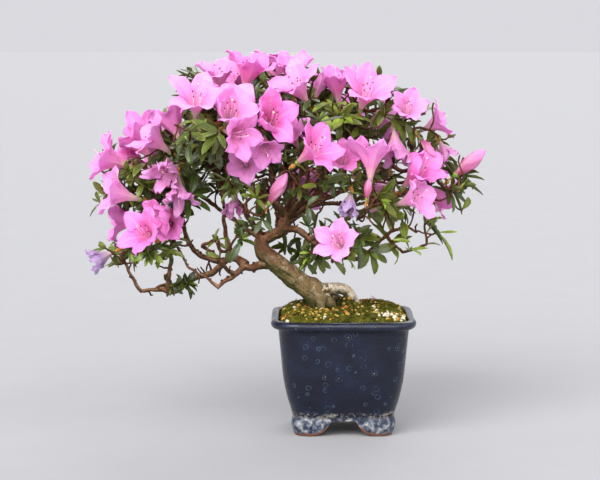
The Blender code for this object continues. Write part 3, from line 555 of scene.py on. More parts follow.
glaze = Paint("dark_blue_glaze", 0.26, Coat_Weight=0.12, Coat_Roughness=0.05, Specular_IOR_Level=0.3)
height = glaze.height()
tint = glaze.ramp(glaze.noise(16, 4), (0.3, (0.004, 0.0045, 0.010)), (0.55, (0.005, 0.007, 0.018)),
                  (0.75, (0.007, 0.010, 0.028)))
# The rings and pits of burst bubbles
swirl = glaze.add("ShaderNodeTexNoise", {"Vector": glaze.place, "Scale": 1000 / 4.0, "Detail": 2.0})
swirl = glaze.scaled(swirl.outputs["Color"], 0.0016)
bent = glaze.out("ShaderNodeVectorMath", {0: glaze.place, 1: swirl}, operation="ADD")
pits = glaze.add("ShaderNodeTexVoronoi", {"Vector": bent, "Scale": 1000 / RING_CELL, "Randomness": 1.0})
cell_number = glaze.out("ShaderNodeSeparateColor", {"Color": pits.outputs["Color"]})
chosen = glaze.math("GREATER_THAN", cell_number, 0.2)
gathered = glaze.times(chosen, glaze.range(glaze.noise(34, 1), 0.30, 0.42))
ring_size = glaze.plus(glaze.times(cell_number, RING_SMALLEST), RING_SMALLEST)
ring_band = glaze.math("ABSOLUTE", glaze.minus(pits.outputs["Distance"], ring_size))
ring_share = glaze.times(glaze.range(ring_band, 0.045, 0.01), gathered)
ring_share = glaze.times(ring_share, glaze.range(glaze.noise(3, 2), 0.36, 0.52))
pit_share = glaze.times(glaze.range(pits.outputs["Distance"], 0.10, 0.06), gathered)
pit_share = glaze.times(pit_share, glaze.math("GREATER_THAN", cell_number, 0.5))
tint = glaze.mix(glaze.times(ring_share, 0.42), tint, (0.06, 0.10, 0.16))
tint = glaze.mix(pit_share, tint, (0.20, 0.13, 0.055))
# The lip, lighter where its glaze runs thin and with a painted reflection, the crust at the crease and the
# mottled feet
lip_glaze_and_reflection = glaze.ramp(glaze.noise(12, 4), (0.35, (0.007, 0.009, 0.018)), (0.6, (0.014, 0.019, 0.036)),
                      (0.75, (0.040, 0.048, 0.072)))
tint = glaze.mix(glaze.times(glaze.range(height, 83.0, 86.5), 0.7), tint, lip_glaze_and_reflection)
wander = glaze.times(glaze.minus(glaze.noise(14, 3), 0.5), 9.0)
off_crease = glaze.math("ABSOLUTE", glaze.plus(glaze.minus(height, CREASE), wander))
crust = glaze.times(glaze.range(off_crease, 2.8, 0.4), glaze.range(glaze.noise(2.2, 5), 0.44, 0.60))
tint = glaze.mix(glaze.times(crust, 0.65), tint, (0.30, 0.27, 0.22))
foot_mottle = glaze.ramp(glaze.noise(3.6, 6), (0.36, (0.012, 0.016, 0.032)), (0.47, (0.038, 0.048, 0.080)),
                         (0.56, (0.12, 0.13, 0.155)), (0.68, (0.32, 0.32, 0.31)))
soft_height = glaze.plus(height, glaze.times(glaze.noise(5, 3), 4.0))
tint = glaze.mix(glaze.range(soft_height, 17.0, 14.6), tint, foot_mottle)
# Bare clay at the edge, low down only, so that the arches stay glazed
above = glaze.add("ShaderNodeAttribute", {}, attribute_name="above_edge").outputs["Fac"]
above = glaze.plus(above, glaze.times(glaze.noise(4, 4), 3.4))
above = glaze.plus(above, glaze.times(glaze.range(height, 7.0, 10.0), 2.0))
clay_share = glaze.range(above, 4.6, 3.6)
clay_tint = glaze.mix(glaze.range(height, 6.0, 9.0), (0.13, 0.055, 0.028), (0.17, 0.125, 0.085))
glaze.feed("Base Color", glaze.mix(clay_share, tint, clay_tint))
shine = glaze.ramp(glaze.noise(1.3, 2), (0.3, (0.20, 0.20, 0.20)), (0.7, (0.32, 0.32, 0.32)))
glaze.feed("Roughness", glaze.mix(clay_share, shine, (0.8, 0.8, 0.8)))
glaze.bump(glaze.minus(glaze.noise(15, 2), glaze.times(pit_share, 0.5)), 0.7)
pot.data.materials.append(glaze.material)
settle(pot, ["pot"])

# %% [markdown]
# ## Soil and moss
#
# The pot is filled with grains of fired clay, and moss has grown over them in low cushions that climb
# to the trunk. The mound is a round grid, so that its relief can be finer than the solid's. Noise
# lifts the cushions. On the mound, geometry nodes then scatter the moss's small tufts, pale grit,
# and the brown bud scales and dead leaves that fell. Where each of them lies goes by a density that
# is stored on the mound's points: grit gathers at the right front corner, dead leaves on the left
# and by the trunk. The tufts are darker round the trunk's foot, as painted shade under the crown,
# and in random patches elsewhere.

# %% The mound
# How far out a ring is and how high the soil is there
SOIL_ROWS = ((0.0, 94.9), (20.0, 94.8), (27.0, 94.5), (34.0, 93.4), (40.0, 91.9), (45.0, 90.2), (48.0, 88.4))
SOIL_EDGE_HALF = 48.0
SOIL_EDGE_CORNER = 17.0
SOIL_EDGE_HOLD = 6.0
BACK_RISE = 2.2
BACK_REACH = 40.0
TOP_FROM = 88.9
MOUND_RINGS = 84
MOUND_DEPTHS = ((87.0, 43.6, 16.0), (65.0, 42.0, 16.0), (44.0, 39.8, 15.0), (29.0, 36.8, 14.0),
                (19.5, 26.0, 11.0))
CUSHION_SIZE = 9.0
CUSHION_LIFT = 1.7
# Moss that climbs under the arched root: middle, reach and height
CLIMB = (4.0, 3.0, 8.5, 8.0)


def patch(x, y, centre_x, centre_y, reach):
    """How much a place belongs to a round patch, from 1 in its middle down to 0."""
    return math.exp(-((x - centre_x) ** 2 + (y - centre_y) ** 2) / reach ** 2)


def cushions(x, y):
    """Height that the moss adds here: round cushions with finer lumps on them."""
    place = Vector((x, y, 0))
    soft = noise.noise(place / CUSHION_SIZE) + 0.5 * noise.noise(place / 4.0 + Vector((7, 3, 1)))
    return CUSHION_LIFT * soft + 0.35 * noise.noise(place / 1.5)


def mound_height(x, y, out):
    """Height of the soil at a place whose ring is this far out, a little higher at the back."""
    base = np.interp(out, *zip(*SOIL_ROWS))
    hold = min(1.0, (SOIL_EDGE_HALF - out) / SOIL_EDGE_HOLD)
    climb = CLIMB[3] * patch(x, y, *CLIMB[:3])
    return base + hold * (cushions(x, y) + BACK_RISE * max(0.0, y / BACK_REACH) + climb)


mound_points = []
edge = rounded_square(SOIL_EDGE_HALF, SOIL_EDGE_CORNER, 0)
for ring in range(1, MOUND_RINGS + 1):
    share = ring / MOUND_RINGS
    for point in edge:
        x, y = point.x * share, point.y * share
        mound_points.append((x, y, mound_height(x, y, SOIL_EDGE_HALF * share)))
count = len(edge)
mound_points.append((0, 0, mound_height(0, 0, 0)))
mound_faces = [(i, (i + 1) % count, len(mound_points) - 1) for i in range(count)]
for height_below, half, corner in MOUND_DEPTHS:
    mound_points += [tuple(p) for p in rounded_square(half, corner, height_below)]
starts = [ring * count for ring in range(MOUND_RINGS)]
starts += [MOUND_RINGS * count + 1 + ring * count for ring in range(len(MOUND_DEPTHS))]
for low, high in zip(starts, starts[1:]):
    mound_faces += band(low, high, count)
mound_faces.append(tuple(range(starts[-1], starts[-1] + count)))
mound = new_object("soil_mound", mound_points, mound_faces)
turn_faces_out(mound)


def soil_shares(x, y):
    """How densely each kind of thing lies at a place of the mound."""
    # Darker tufts round the trunk's foot are painted shade under the crown; the noise adds random patches of
    # darker moss.
    shade = patch(x, y, -6, -2, 17) + 0.6 * noise.noise(Vector((x, y, 5)) / 11.0)
    light = min(1.0, max(0.0, 0.85 - shade))
    corner = patch(x, y, 37, -33, 9)
    return {
        "moss_light": light * (1 - 0.8 * corner),
        "moss_dark": 1 - light,
        "grit": 0.22 + 0.6 * patch(x, y, -12, -30, 20) + 0.3 * patch(x, y, 30, 22, 16) + 0.7 * corner,
        "pale_grit": 0.03 + 1.2 * corner,
        "litter": 0.05 + patch(x, y, -38, -26, 11) + patch(x, y, -8, -20, 8)
        + 0.8 * patch(x, y, 24, 20, 12) + 0.8 * patch(x, y, -40, 34, 8),
    }


shares = [soil_shares(x, y) for x, y, _ in mound_points]
for name in shares[0]:
    values = [min(1.0, there[name]) if p[2] > TOP_FROM else 0.0 for there, p in zip(shares, mound_points)]
    store(mound.data, name, values)

# %% [markdown]
# A tuft of moss is a handful of short spikes that lean outwards. A grain of grit is a small stone,
# and a fallen scale is a cupped oval. Each is made once, with few faces, because there are thousands
# of them.

# %% Shapes that lie on the soil
def spikes(count, height, lean, width, seed):
    """A tuft of three-sided spikes from one foot."""
    rng = random.Random(seed)
    points, faces = [], []
    for i in range(count):
        turn = FULL_TURN * i / count + rng.uniform(-0.4, 0.4)
        tilt = lean * rng.uniform(0.4, 1.2) if i else 0.0
        tall = height * rng.uniform(0.7, 1.1)
        foot = Vector((math.cos(turn), math.sin(turn), 0)) * width * 0.8 * (i > 0)
        a = len(points)
        for corner in range(3):
            angle = turn + FULL_TURN * corner / 3
            points.append(foot + Vector((math.cos(angle) * width, math.sin(angle) * width, -0.4)))
        way = Vector((math.cos(turn) * math.sin(tilt), math.sin(turn) * math.sin(tilt), math.cos(tilt)))
        points.append(foot + way * tall)
        faces += [(a, a + 1, a + 3), (a + 1, a + 2, a + 3), (a + 2, a, a + 3), (a + 2, a + 1, a)]
    return points, faces


def grain(radius, seed):
    """A small uneven stone."""
    mesh = bmesh.new()
    bmesh.ops.create_icosphere(mesh, subdivisions=2, radius=radius)
    for vertex in mesh.verts:
        lump = noise.noise(vertex.co / radius * 0.9 + Vector((seed * 5.0, 0, 0)))
        vertex.co *= 1 + 0.45 * lump
        vertex.co.z *= 0.75
    mesh.verts.index_update()
    result = ([v.co.copy() for v in mesh.verts], [[v.index for v in f.verts] for f in mesh.faces])
    mesh.free()
    return result


def grid_faces(rows, columns):
    """Quads of a grid of points, row by row."""
    wide = columns + 1
    corners = [row * wide + column for row in range(rows) for column in range(columns)]
    return [(a, a + wide, a + wide + 1, a + 1) for a in corners]


def sheet_pair(upper, lower, rows, columns):
    """A closed thin solid between two grids of the same size, row by row."""
    wide = columns + 1
    below = len(upper)
    faces = []
    for a, b, c, d in grid_faces(rows, columns):
        faces += [(a, b, c, d), (below + a, below + d, below + c, below + b)]
    rim = [row * wide for row in range(rows + 1)]
    rim += [rows * wide + column for column in range(1, wide)]
    rim += [row * wide + columns for row in range(rows - 1, -1, -1)]
    rim += [column for column in range(columns - 1, 0, -1)]
    for a, b in zip(rim, rim[1:] + rim[:1]):
        faces.append((a, below + a, below + b, b))
    return list(upper) + list(lower), faces


def cupped_scale(length, width, cup, rows=5):
    """A thin pointed oval, hollow on its upper side, from its root at the origin along +X."""
    upper, lower = [], []
    for row in range(rows + 1):
        share = row / rows
        half = width / 2 * math.sin(math.pi * min(share * 0.94 + 0.06, 1.0)) ** 0.75 + 0.12
        for across in (-1.0, -0.5, 0.0, 0.5, 1.0):
            lift = cup * length * share * share + cup * half * across * across
            upper.append(Vector((length * share, half * across, lift + 0.12)))
            lower.append(Vector((length * share, half * across, lift - 0.12)))
    return sheet_pair(upper, lower, rows, 4)


shape_groups = []


def shape_group(name, *shapes):
    """A collection of shapes for geometry nodes to pick from. It isn't rendered itself."""
    group = bpy.data.collections.new(name)
    for i, shape in enumerate(shapes):
        obj = new_object(f"{name}_{i}", *shape)
        turn_faces_out(obj)
        obj.data.shade_smooth()
        bpy.context.scene.collection.objects.unlink(obj)
        group.objects.link(obj)
    shape_groups.append(group)
    return group


# %% [markdown]
# The scattering tree spreads points over the mound by the stored density, never closer than the
# spacing, turns each copy round the normal at random and sets a random size. It ends with real
# geometry and one material.

# %% Scatter on the mound
def scatter_tree():
    """Copies of the shapes of a collection over a surface, by a density stored on it."""
    shaper = Shaper("scatter")
    names = ("Spacing", "Density", "Smallest", "Largest", "Tilt", "Sink")
    spacing, density, smallest, largest, tilt, sink = (shaper.input(name, "Float") for name in names)
    seed = shaper.input("Seed", "Int")
    where = shaper.input("Where", "String")
    shapes = shaper.input("Shapes", "Collection")
    finish = shaper.input("Finish", "Material")
    links = {"Mesh": shaper.shape, "Distance Min": spacing, "Density Max": density, "Seed": seed}
    links["Density Factor"] = shaper.read(where)
    spread = shaper.add("GeometryNodeDistributePointsOnFaces", links, distribute_method="POISSON")
    tilt_low = shaper.times(tilt, -1.0)
    low = shaper.out("ShaderNodeCombineXYZ", {0: tilt_low, 1: tilt_low, 2: -math.pi})
    high = shaper.out("ShaderNodeCombineXYZ", {0: tilt, 1: tilt, 2: math.pi})
    turn = shaper.out("FunctionNodeRandomValue", {0: low, 1: high, "Seed": seed}, data_type="FLOAT_VECTOR")
    turn = shaper.out("FunctionNodeEulerToRotation", {0: turn})
    pair = {0: spread.outputs["Rotation"], 1: turn}
    both = shaper.out("FunctionNodeRotateRotation", pair, rotation_space="LOCAL")
    links = {2: smallest, 3: largest, "Seed": 5}
    size = shaper.add("FunctionNodeRandomValue", links, data_type="FLOAT").outputs[1]
    pick = shaper.add("FunctionNodeRandomValue", {4: 0, 5: 63, "Seed": 9}, data_type="INT").outputs[2]
    copies = shaper.copies(spread.outputs["Points"], shapes, pick, both, size)
    down = shaper.scaled(spread.outputs["Normal"], sink)
    return shaper.finish(shaper.out("GeometryNodeSetPosition", {"Geometry": copies, "Offset": down}), finish)


def mottled(name, roughness, size, *stops, depth=0.3, grain_size=1.2):
    """A matt finish whose colour follows a noise, with fine relief."""
    paint = Paint(name, roughness, Specular_IOR_Level=0.15)
    paint.feed("Base Color", paint.ramp(paint.noise(size, 4), *stops))
    paint.bump(paint.noise(grain_size, 3), depth)
    return paint.material


scatter = scatter_tree()
mound.data.materials.append(mottled(
    "soil_and_moss_bed", 0.95, 6, (0.3, (0.014, 0.014, 0.004)), (0.5, (0.045, 0.043, 0.007)),
    (0.7, (0.11, 0.095, 0.014)), depth=0.8))
tufts = shape_group("tuft", spikes(7, 1.7, 0.9, 0.42, "tuft 0"), spikes(6, 1.4, 1.1, 0.46, "tuft 1"),
                    spikes(8, 1.5, 0.7, 0.38, "tuft 2"))
stones = shape_group("grain", grain(1.25, 1), grain(1.0, 2), grain(1.5, 3), grain(0.8, 4))
fallen = shape_group("fallen", cupped_scale(8.0, 3.4, 0.28), cupped_scale(11.0, 3.8, 0.16),
                     cupped_scale(6.0, 3.2, 0.4))
# Name, shapes, where, spacing, most for each square millimetre, sizes, tilt, sink, seed, then the
# finish: its name, roughness, size of its pattern and stops
SCATTERED = (
    ("moss_tufts_light", tufts, "moss_light", 1.05, 1.0, 0.6, 1.25, 0.25, -0.2, 3, "bright_moss", 0.9, 5,
     (0.3, (0.045, 0.055, 0.005)), (0.5, (0.12, 0.115, 0.008)), (0.72, (0.27, 0.22, 0.025))),
    ("moss_tufts_dark", tufts, "moss_dark", 1.15, 1.0, 0.6, 1.35, 0.25, -0.2, 4, "shaded_moss", 0.9, 6,
     (0.3, (0.007, 0.013, 0.003)), (0.55, (0.022, 0.032, 0.005)), (0.75, (0.07, 0.075, 0.010))),
    ("grit_cream", stones, "grit", 2.8, 0.07, 0.8, 1.5, 0.6, 0.4, 5, "cream_grit", 0.8, 3,
     (0.35, (0.24, 0.12, 0.015)), (0.5, (0.40, 0.25, 0.045)), (0.65, (0.56, 0.42, 0.14))),
    ("grit_white", stones, "pale_grit", 2.6, 0.12, 0.8, 1.3, 0.6, 0.4, 7, "white_grit", 0.8, 3,
     (0.35, (0.48, 0.40, 0.24)), (0.6, (0.72, 0.68, 0.56))),
    ("litter", fallen, "litter", 3.4, 0.05, 0.6, 1.0, 0.16, -0.3, 6, "fallen_scales", 0.6, 4,
     (0.35, (0.26, 0.06, 0.018)), (0.55, (0.48, 0.16, 0.035)), (0.7, (0.62, 0.30, 0.09))),
)
scattered = []
for name, shapes, where, spacing, density, smallest, largest, tilt, sink, seed, *finish in SCATTERED:
    copy = linked(name, mound.data.copy())
    scatter.run(copy, Spacing=spacing, Density=density, Smallest=smallest, Largest=largest, Tilt=tilt,
                Sink=sink, Seed=seed, Where=where, Shapes=shapes, Finish=mottled(*finish))
    scattered.append(copy)
settle(mound, ["soil"])
for obj in scattered:
    settle(obj, ["soil"])

# %% [markdown]
# ## The line of the trunk and boughs
#
# The boughs run through the same points as the solids. The trunk's foot and the arched root follow
# the photograph a little more closely than the solids do. The trunk leans out over the pot's left
# side and turns back to its fork. An azalea's wood is brittle and its growth is slow, so the boughs
# are full of small kinks. They come from a noise that moves each path a little between its points.

# %% Where the wood runs
TRUNK = (
    ((-12, 2, 86), 11.5), ((-17, 1, 98), 10.0), ((-23, 0, 107), 9.2), ((-35, 0, 115), 8.1),
    ((-45, -3, 124), 7.8), ((-54, -5, 131), 7.0), ((-61, -6, 138), 6.2), ((-63, -5, 146), 5.3),
    ((-56, -2, 150), 4.5), ((-48, 0, 154), 4.6), ((-45, 0, 161), 4.4), ((-43, 1, 168), 3.3),
)
# Roots that spread over the soil: points, then the radius at each end
ROOTS = (
    ((-22, 0, 105), (-14, 0, 108), (-6, 1, 109), (0, 1, 108.5), (5, 2, 104),
     (9, 3, 97.5), (12, 3, 90), 6.2, 3.4),
    ((-12, 4, 100), (-4, 14, 99), (4, 22, 92), 5.0, 2.4),
    ((-16, -3, 100), (-17, -13, 98), (-16, -20, 91), 4.6, 2.2),
    ((-16, 4, 102), (-22, 13, 99), (-25, 20, 91), 4.6, 2.2),
)
# Boughs: name, radius at the foot and at the end, points along it
BOUGHS = (
    ("bough_left_low", 4.1, 1.3,
     (-56, -3, 130), (-68, -8, 127), (-77, -10, 127), (-84, -13, 120), (-90, -14, 117), (-97, -15, 111)),
    ("bough_left_arch", 3.2, 2.0,
     (-75, -9, 128), (-83, -4, 133), (-90, 1, 131), (-101, 4, 121), (-112, 3, 118), (-123, 0, 115)),
    ("bough_left_loop", 2.0, 1.7,
     (-122, 0, 115), (-126, -5, 109), (-131, -9, 107), (-139, -13, 110)),
    ("bough_left_sweep", 1.7, 1.1,
     (-138, -12, 110), (-147, -15, 110), (-155, -17, 110), (-161, -20, 119), (-166, -22, 131)),
    ("bough_left_stub", 1.9, 1.4,
     (-135, -11, 109), (-134, -16, 119), (-132, -18, 128), (-132, -20, 138)),
    ("bough_left_upright", 2.4, 1.5,
     (-92, 2, 130), (-101, 11, 130), (-112, 14, 134), (-119, 12, 143), (-124, 8, 157), (-127, 4, 172)),
    ("bough_left_inner", 2.1, 1.3,
     (-86, 0, 133), (-89, 10, 143), (-92, 16, 156), (-92, 20, 170), (-95, 26, 183)),
    ("bough_left_spur", 1.9, 1.2,
     (-83, -13, 121), (-91, -21, 129), (-98, -27, 138), (-104, -32, 143)),
    ("bough_left_shoot", 1.2, 0.9,
     (-96, -15, 112), (-105, -14, 119), (-112, -14, 123), (-119, -15, 128), (-124, -16, 138)),
    ("bough_middle_left", 2.4, 1.4,
     (-61, -5, 148), (-70, 8, 151), (-77, 20, 155), (-88, 34, 161), (-99, 46, 168)),
    ("bough_upper_left", 3.0, 1.7,
     (-44, 1, 167), (-51, -5, 174), (-60, -13, 180), (-70, -22, 189), (-80, -30, 200), (-89, -35, 214)),
    ("bough_top_centre", 2.6, 1.5,
     (-43, 2, 167), (-41, 6, 178), (-42, 8, 190), (-47, 6, 203), (-54, 1, 216), (-57, -3, 228)),
    ("bough_top_right", 2.8, 1.6,
     (-43, 1, 166), (-34, -3, 169), (-26, -2, 177), (-18, 1, 187), (-14, 5, 199), (-12, 9, 213),
     (-12, 11, 228)),
    ("bough_right_crown", 1.9, 1.3,
     (-18, 2, 190), (-11, 0, 201), (-4, -2, 213), (3, -4, 226)),
    ("bough_right_upper", 2.1, 1.3,
     (-29, -3, 172), (-18, 6, 176), (-2, 8, 183), (14, 6, 191), (28, 4, 200), (37, 3, 212)),
    ("bough_right_low", 3.1, 1.8,
     (-49, 0, 154), (-40, -8, 156), (-32, -12, 154), (-24, -14, 147), (-13, -16, 141), (-2, -19, 138),
     (9, -20, 134)),
    ("bough_right_shoot", 1.6, 1.1,
     (7, -20, 134), (15, -22, 136), (22, -25, 143), (30, -27, 151)),
    ("bough_right_middle", 2.0, 1.2,
     (-26, -14, 148), (-14, -17, 156), (2, -18, 165), (20, -14, 173), (38, -9, 180), (52, -5, 186)),
    ("bough_front_low", 1.5, 1.1,
     (-16, -16, 142), (-13, -28, 141), (-9, -38, 143)),
    ("bough_front", 2.2, 1.3,
     (-42, 0, 165), (-37, -15, 173), (-31, -28, 183), (-28, -40, 195)),
    ("bough_front_left", 1.7, 1.2,
     (-58, -12, 178), (-62, -24, 181), (-66, -36, 187)),
    ("bough_front_right", 1.6, 1.1,
     (-8, -18, 159), (0, -29, 167), (6, -39, 177)),
    ("bough_back_left", 2.9, 1.7,
     (-61, -5, 143), (-66, 16, 153), (-77, 34, 166), (-90, 48, 182), (-103, 58, 198)),
    ("bough_back_top", 2.8, 1.6,
     (-49, 0, 154), (-50, 18, 163), (-54, 34, 178), (-56, 46, 198), (-58, 53, 218)),
    ("bough_back_right", 2.6, 1.6,
     (-44, 1, 160), (-32, 18, 166), (-18, 34, 177), (-4, 46, 192), (6, 54, 206)),
    ("bough_back_low", 1.9, 1.2,
     (-24, 27, 172), (-8, 40, 172), (8, 50, 170), (24, 56, 172)),
    ("bough_back_centre", 1.8, 1.2,
     (-52, 28, 172), (-50, 46, 176), (-48, 62, 184)),
)
BOUGH_COLLAR = 0.25
COLLAR_SHARE = 0.25
BOUGH_TAPER = 0.8


def line_steps(line):
    """How far along a line of points each point is."""
    return np.concatenate([[0], np.cumsum(np.linalg.norm(np.diff(line, axis=0), axis=1))])


def even_path(points, step, values=None):
    """A smooth path through the points, in even steps, with a value carried along it."""
    values = values or [0.0] * len(points)
    fine = between([(*point, value) for point, value in zip(points, values)], 12)
    lengths = line_steps(fine[:, :3])
    at = np.linspace(0, lengths[-1], max(4, round(lengths[-1] / step) + 1))
    even = np.column_stack([np.interp(at, lengths, fine[:, k]) for k in range(4)])
    return [Vector(row[:3]) for row in even], [float(v) for v in even[:, 3]]


def kinked(path, amount, wave, seed):
    """The path moved by a noise, less near its ends."""
    last = len(path) - 1
    result = []
    for i, point in enumerate(path):
        hold = min(1.0, 4.0 * i / last, 4.0 * (last - i) / last)
        result.append(point + noise.noise_vector(point / wave + Vector((seed * 17.0, 0, 0))) * amount * hold)
    return result


def limb(points, foot_radius, end_radius, step, seed):
    """Path and radii of a tapering limb with kinks and a slight collar at its foot."""
    path, _ = even_path(points, step)
    radii = []
    for i in range(len(path)):
        share = i / (len(path) - 1)
        collar = 1 + BOUGH_COLLAR * max(0.0, 1 - share / COLLAR_SHARE)
        radii.append((foot_radius + (end_radius - foot_radius) * share ** BOUGH_TAPER) * collar)
    return kinked(path, 1.1, 7.0, seed), radii


trunk_path, trunk_radii = even_path([p for p, _ in TRUNK], 0.8, [r for _, r in TRUNK])
root_limbs = [limb(points, foot, end, 0.8, i) for i, (*points, foot, end) in enumerate(ROOTS)]
bough_limbs = {}
for i, (name, foot, end, *points) in enumerate(BOUGHS):
    bough_limbs[name] = limb(points, foot, end, 0.9, i + 10)
bough_points = sum(len(path) for path, _ in bough_limbs.values())
print("wood:", len(trunk_path), "points of trunk,", bough_points, "of boughs")

# %% [markdown]
# ## Bark that follows the wood
#
# A limb is a path with a girth. Curve to Mesh turns it into a tube, and its Scale input takes the
# girth. The bark's relief is part of the same tree: a noise moves each point in or out. The noise
# doesn't read the point's place in space but its place on the limb, as if the limb were straight, and
# is stretched along it, so that lumps and fissures follow every bend. One tree makes the trunk, the
# boughs, the twigs and later the flowers' thin stalks, with other inputs.

# %% The limb tree
LUMP_STRETCH = 0.7
GRAIN_STRETCH = 0.3
LIMBS_APART = 61.0


def limb_tree():
    """Tubes along the paths of a mesh, by their girth, with lumps and grain in the skin."""
    shaper = Shaper("limb")

    def keep(geometry, name, value):
        links = {"Geometry": geometry, "Name": name, "Value": value}
        return shaper.out("GeometryNodeStoreNamedAttribute", links, data_type="FLOAT", domain="POINT")

    sides = shaper.input("Sides", "Int")
    names = ("Lump size", "Lump depth", "Grain size", "Grain depth")
    lump_size, lump_depth, grain_size, grain_depth = (shaper.input(name, "Float") for name in names)
    finish = shaper.input("Finish", "Material")
    curve = shaper.out("GeometryNodeMeshToCurve", {"Mesh": shaper.shape})
    curve = keep(curve, "along", shaper.add("GeometryNodeSplineParameter", {}).outputs["Length"])
    ring = shaper.out("GeometryNodeCurvePrimitiveCircle", {"Resolution": sides, "Radius": 1.0})
    ring = keep(ring, "around", shaper.add("GeometryNodeSplineParameter", {}).outputs["Factor"])
    girth = shaper.read("girth")
    links = {"Curve": curve, "Profile Curve": ring, "Scale": girth, "Fill Caps": True}
    tube = shaper.out("GeometryNodeCurveToMesh", links)
    angle = shaper.times(shaper.read("around"), FULL_TURN)
    x = shaper.times(shaper.math("COSINE", angle), girth)
    y = shaper.times(shaper.math("SINE", angle), girth)
    apart = shaper.times(shaper.read("limb"), LIMBS_APART)
    lumps = (LUMP_STRETCH, lump_size, shaper.times(lump_depth, girth))
    rises = []
    for stretch, size, depth in (lumps, (GRAIN_STRETCH, grain_size, grain_depth)):
        z = shaper.plus(shaper.times(shaper.read("along"), stretch), apart)
        place = shaper.out("ShaderNodeCombineXYZ", {0: x, 1: y, 2: z})
        links = {"Vector": place, "Scale": shaper.math("DIVIDE", 1.0, size), "Detail": 2.0}
        value = shaper.times(shaper.minus(shaper.out("ShaderNodeTexNoise", links), 0.5), 2.0)
        rises.append(shaper.times(value, depth))
    offset = shaper.scaled(shaper.out("GeometryNodeInputNormal", {}), shaper.plus(*rises))
    return shaper.finish(shaper.out("GeometryNodeSetPosition", {"Geometry": tube, "Offset": offset}), finish)


def skeleton(name, limbs):
    """A mesh of paths only, with the girth at each point and the number of its limb."""
    points, edges, girths, numbers = [], [], [], []
    for number, (path, radii) in enumerate(limbs):
        start = len(points)
        points += [tuple(p) for p in path]
        edges += [(start + i, start + i + 1) for i in range(len(path) - 1)]
        girths += list(radii)
        numbers += [float(number)] * len(path)
    mesh = bpy.data.meshes.new(name)
    mesh.from_pydata(points, edges, [])
    store(mesh, "girth", girths)
    store(mesh, "limb", numbers)
    return linked(name, mesh)


def tubes(name, limbs, sides, finish, lump, grain=(1.5, 0.0)):
    """Tubes along the limbs as one plain mesh. Lumps and grain each have a size and a depth."""
    return limb_maker.run(skeleton(name, limbs), Sides=sides, Lump_size=lump[0], Lump_depth=lump[1],
                          Grain_size=grain[0], Grain_depth=grain[1], Finish=finish)


limb_maker = limb_tree()

# %% [markdown]
# ## Bark
#
# The trunk is worn tan on its upper side, browner where the bark has flaked, and dark underneath and
# near the soil: partly algae where it stays damp, partly painted shade. Fine dark flecks are painted
# shade in the bark's cracks. The shader's Normal tells the upper side from the lower one. Higher up,
# towards the fork, the trunk's bark is redder and more rugged. The boughs are brown, and the
# youngest twigs a dark red-brown.

# %% Bark finishes
def bark(name, worn, flaked, damp_and_shade, grain_size, aloft=None):
    """Bark worn above and flaked in patches, darker below and by the soil with algae and painted shade, and
    rugged aloft.
    """
    paint = Paint(name, 0.78, Specular_IOR_Level=0.2)
    patches = paint.noise(5.5, 6)
    colour = paint.mix(paint.range(patches, 0.42, 0.54), worn, flaked)
    if aloft:
        height = paint.plus(paint.height(), paint.times(paint.noise(8, 3), 30.0))
        rugged = paint.mix(paint.range(patches, 0.40, 0.56), tinted(aloft, 1.3), tinted(aloft, 0.55))
        colour = paint.mix(paint.times(paint.range(height, 137.0, 155.0), 0.9), colour, rugged)
        # Low on the trunk, near the soil, the colour goes towards the dark one: algae and painted shade.
        colour = paint.mix(paint.times(paint.range(height, 125.0, 114.0), 0.8), colour, damp_and_shade)
    fine = paint.noise(grain_size, 4)
    # Fine dark flecks, painted as the shade in the bark's cracks.
    colour = paint.mix(paint.range(fine, 0.52, 0.70), colour, tinted(flaked, 0.42))
    # Faces that look down take the dark colour: partly algae, partly painted shade under the limb.
    normal = paint.add("ShaderNodeNewGeometry", {}).outputs["Normal"]
    upward = paint.add("ShaderNodeSeparateXYZ", {"Vector": normal}).outputs["Z"]
    upward = paint.plus(upward, paint.times(paint.minus(patches, 0.5), 1.4))
    paint.feed("Base Color", paint.mix(paint.range(upward, 0.22, -0.50), colour, damp_and_shade))
    paint.bump(paint.plus(fine, paint.times(patches, 1.5)), 2.0)
    return paint.material


trunk_bark = bark("trunk_bark", (0.50, 0.39, 0.24), (0.27, 0.18, 0.08), (0.060, 0.055, 0.012), 1.3,
                  aloft=(0.27, 0.112, 0.058))
root_bark = bark("root_bark", (0.88, 0.80, 0.66), (0.66, 0.53, 0.38), (0.09, 0.07, 0.025), 1.3)
bough_bark = bark("bough_bark", (0.40, 0.22, 0.125), (0.20, 0.082, 0.038), (0.070, 0.036, 0.015), 0.9)
twig_bark = bark("twig_bark", (0.19, 0.078, 0.036), (0.12, 0.040, 0.019), (0.058, 0.024, 0.011), 0.7)

# %% [markdown]
# ## Trunk, roots and boughs in one skin
#
# The tubes overlap where a bough leaves the trunk. One Boolean union on a collection joins them, so
# that no tube ends inside another, and the foot is cut off just under the soil. Which faces are
# trunk and which are bough goes by the nearer path. The arched root on the right has a paler bark.

# %% The wood
WOOD_FOOT = 92.0
BOUGH_PULL = 2.2
ARCHED_ROOT = 1
THICK_BOUGH = 2.5
# The root's pale bark begins further left where the root lies on the trunk. Low by the trunk's foot it
# begins further right, so that the trunk's darker bark there stays as painted shade
ROOT_FROM = 4.0
ROOT_FROM_ABOVE = -13.0
ROOT_ABOVE = 101.0


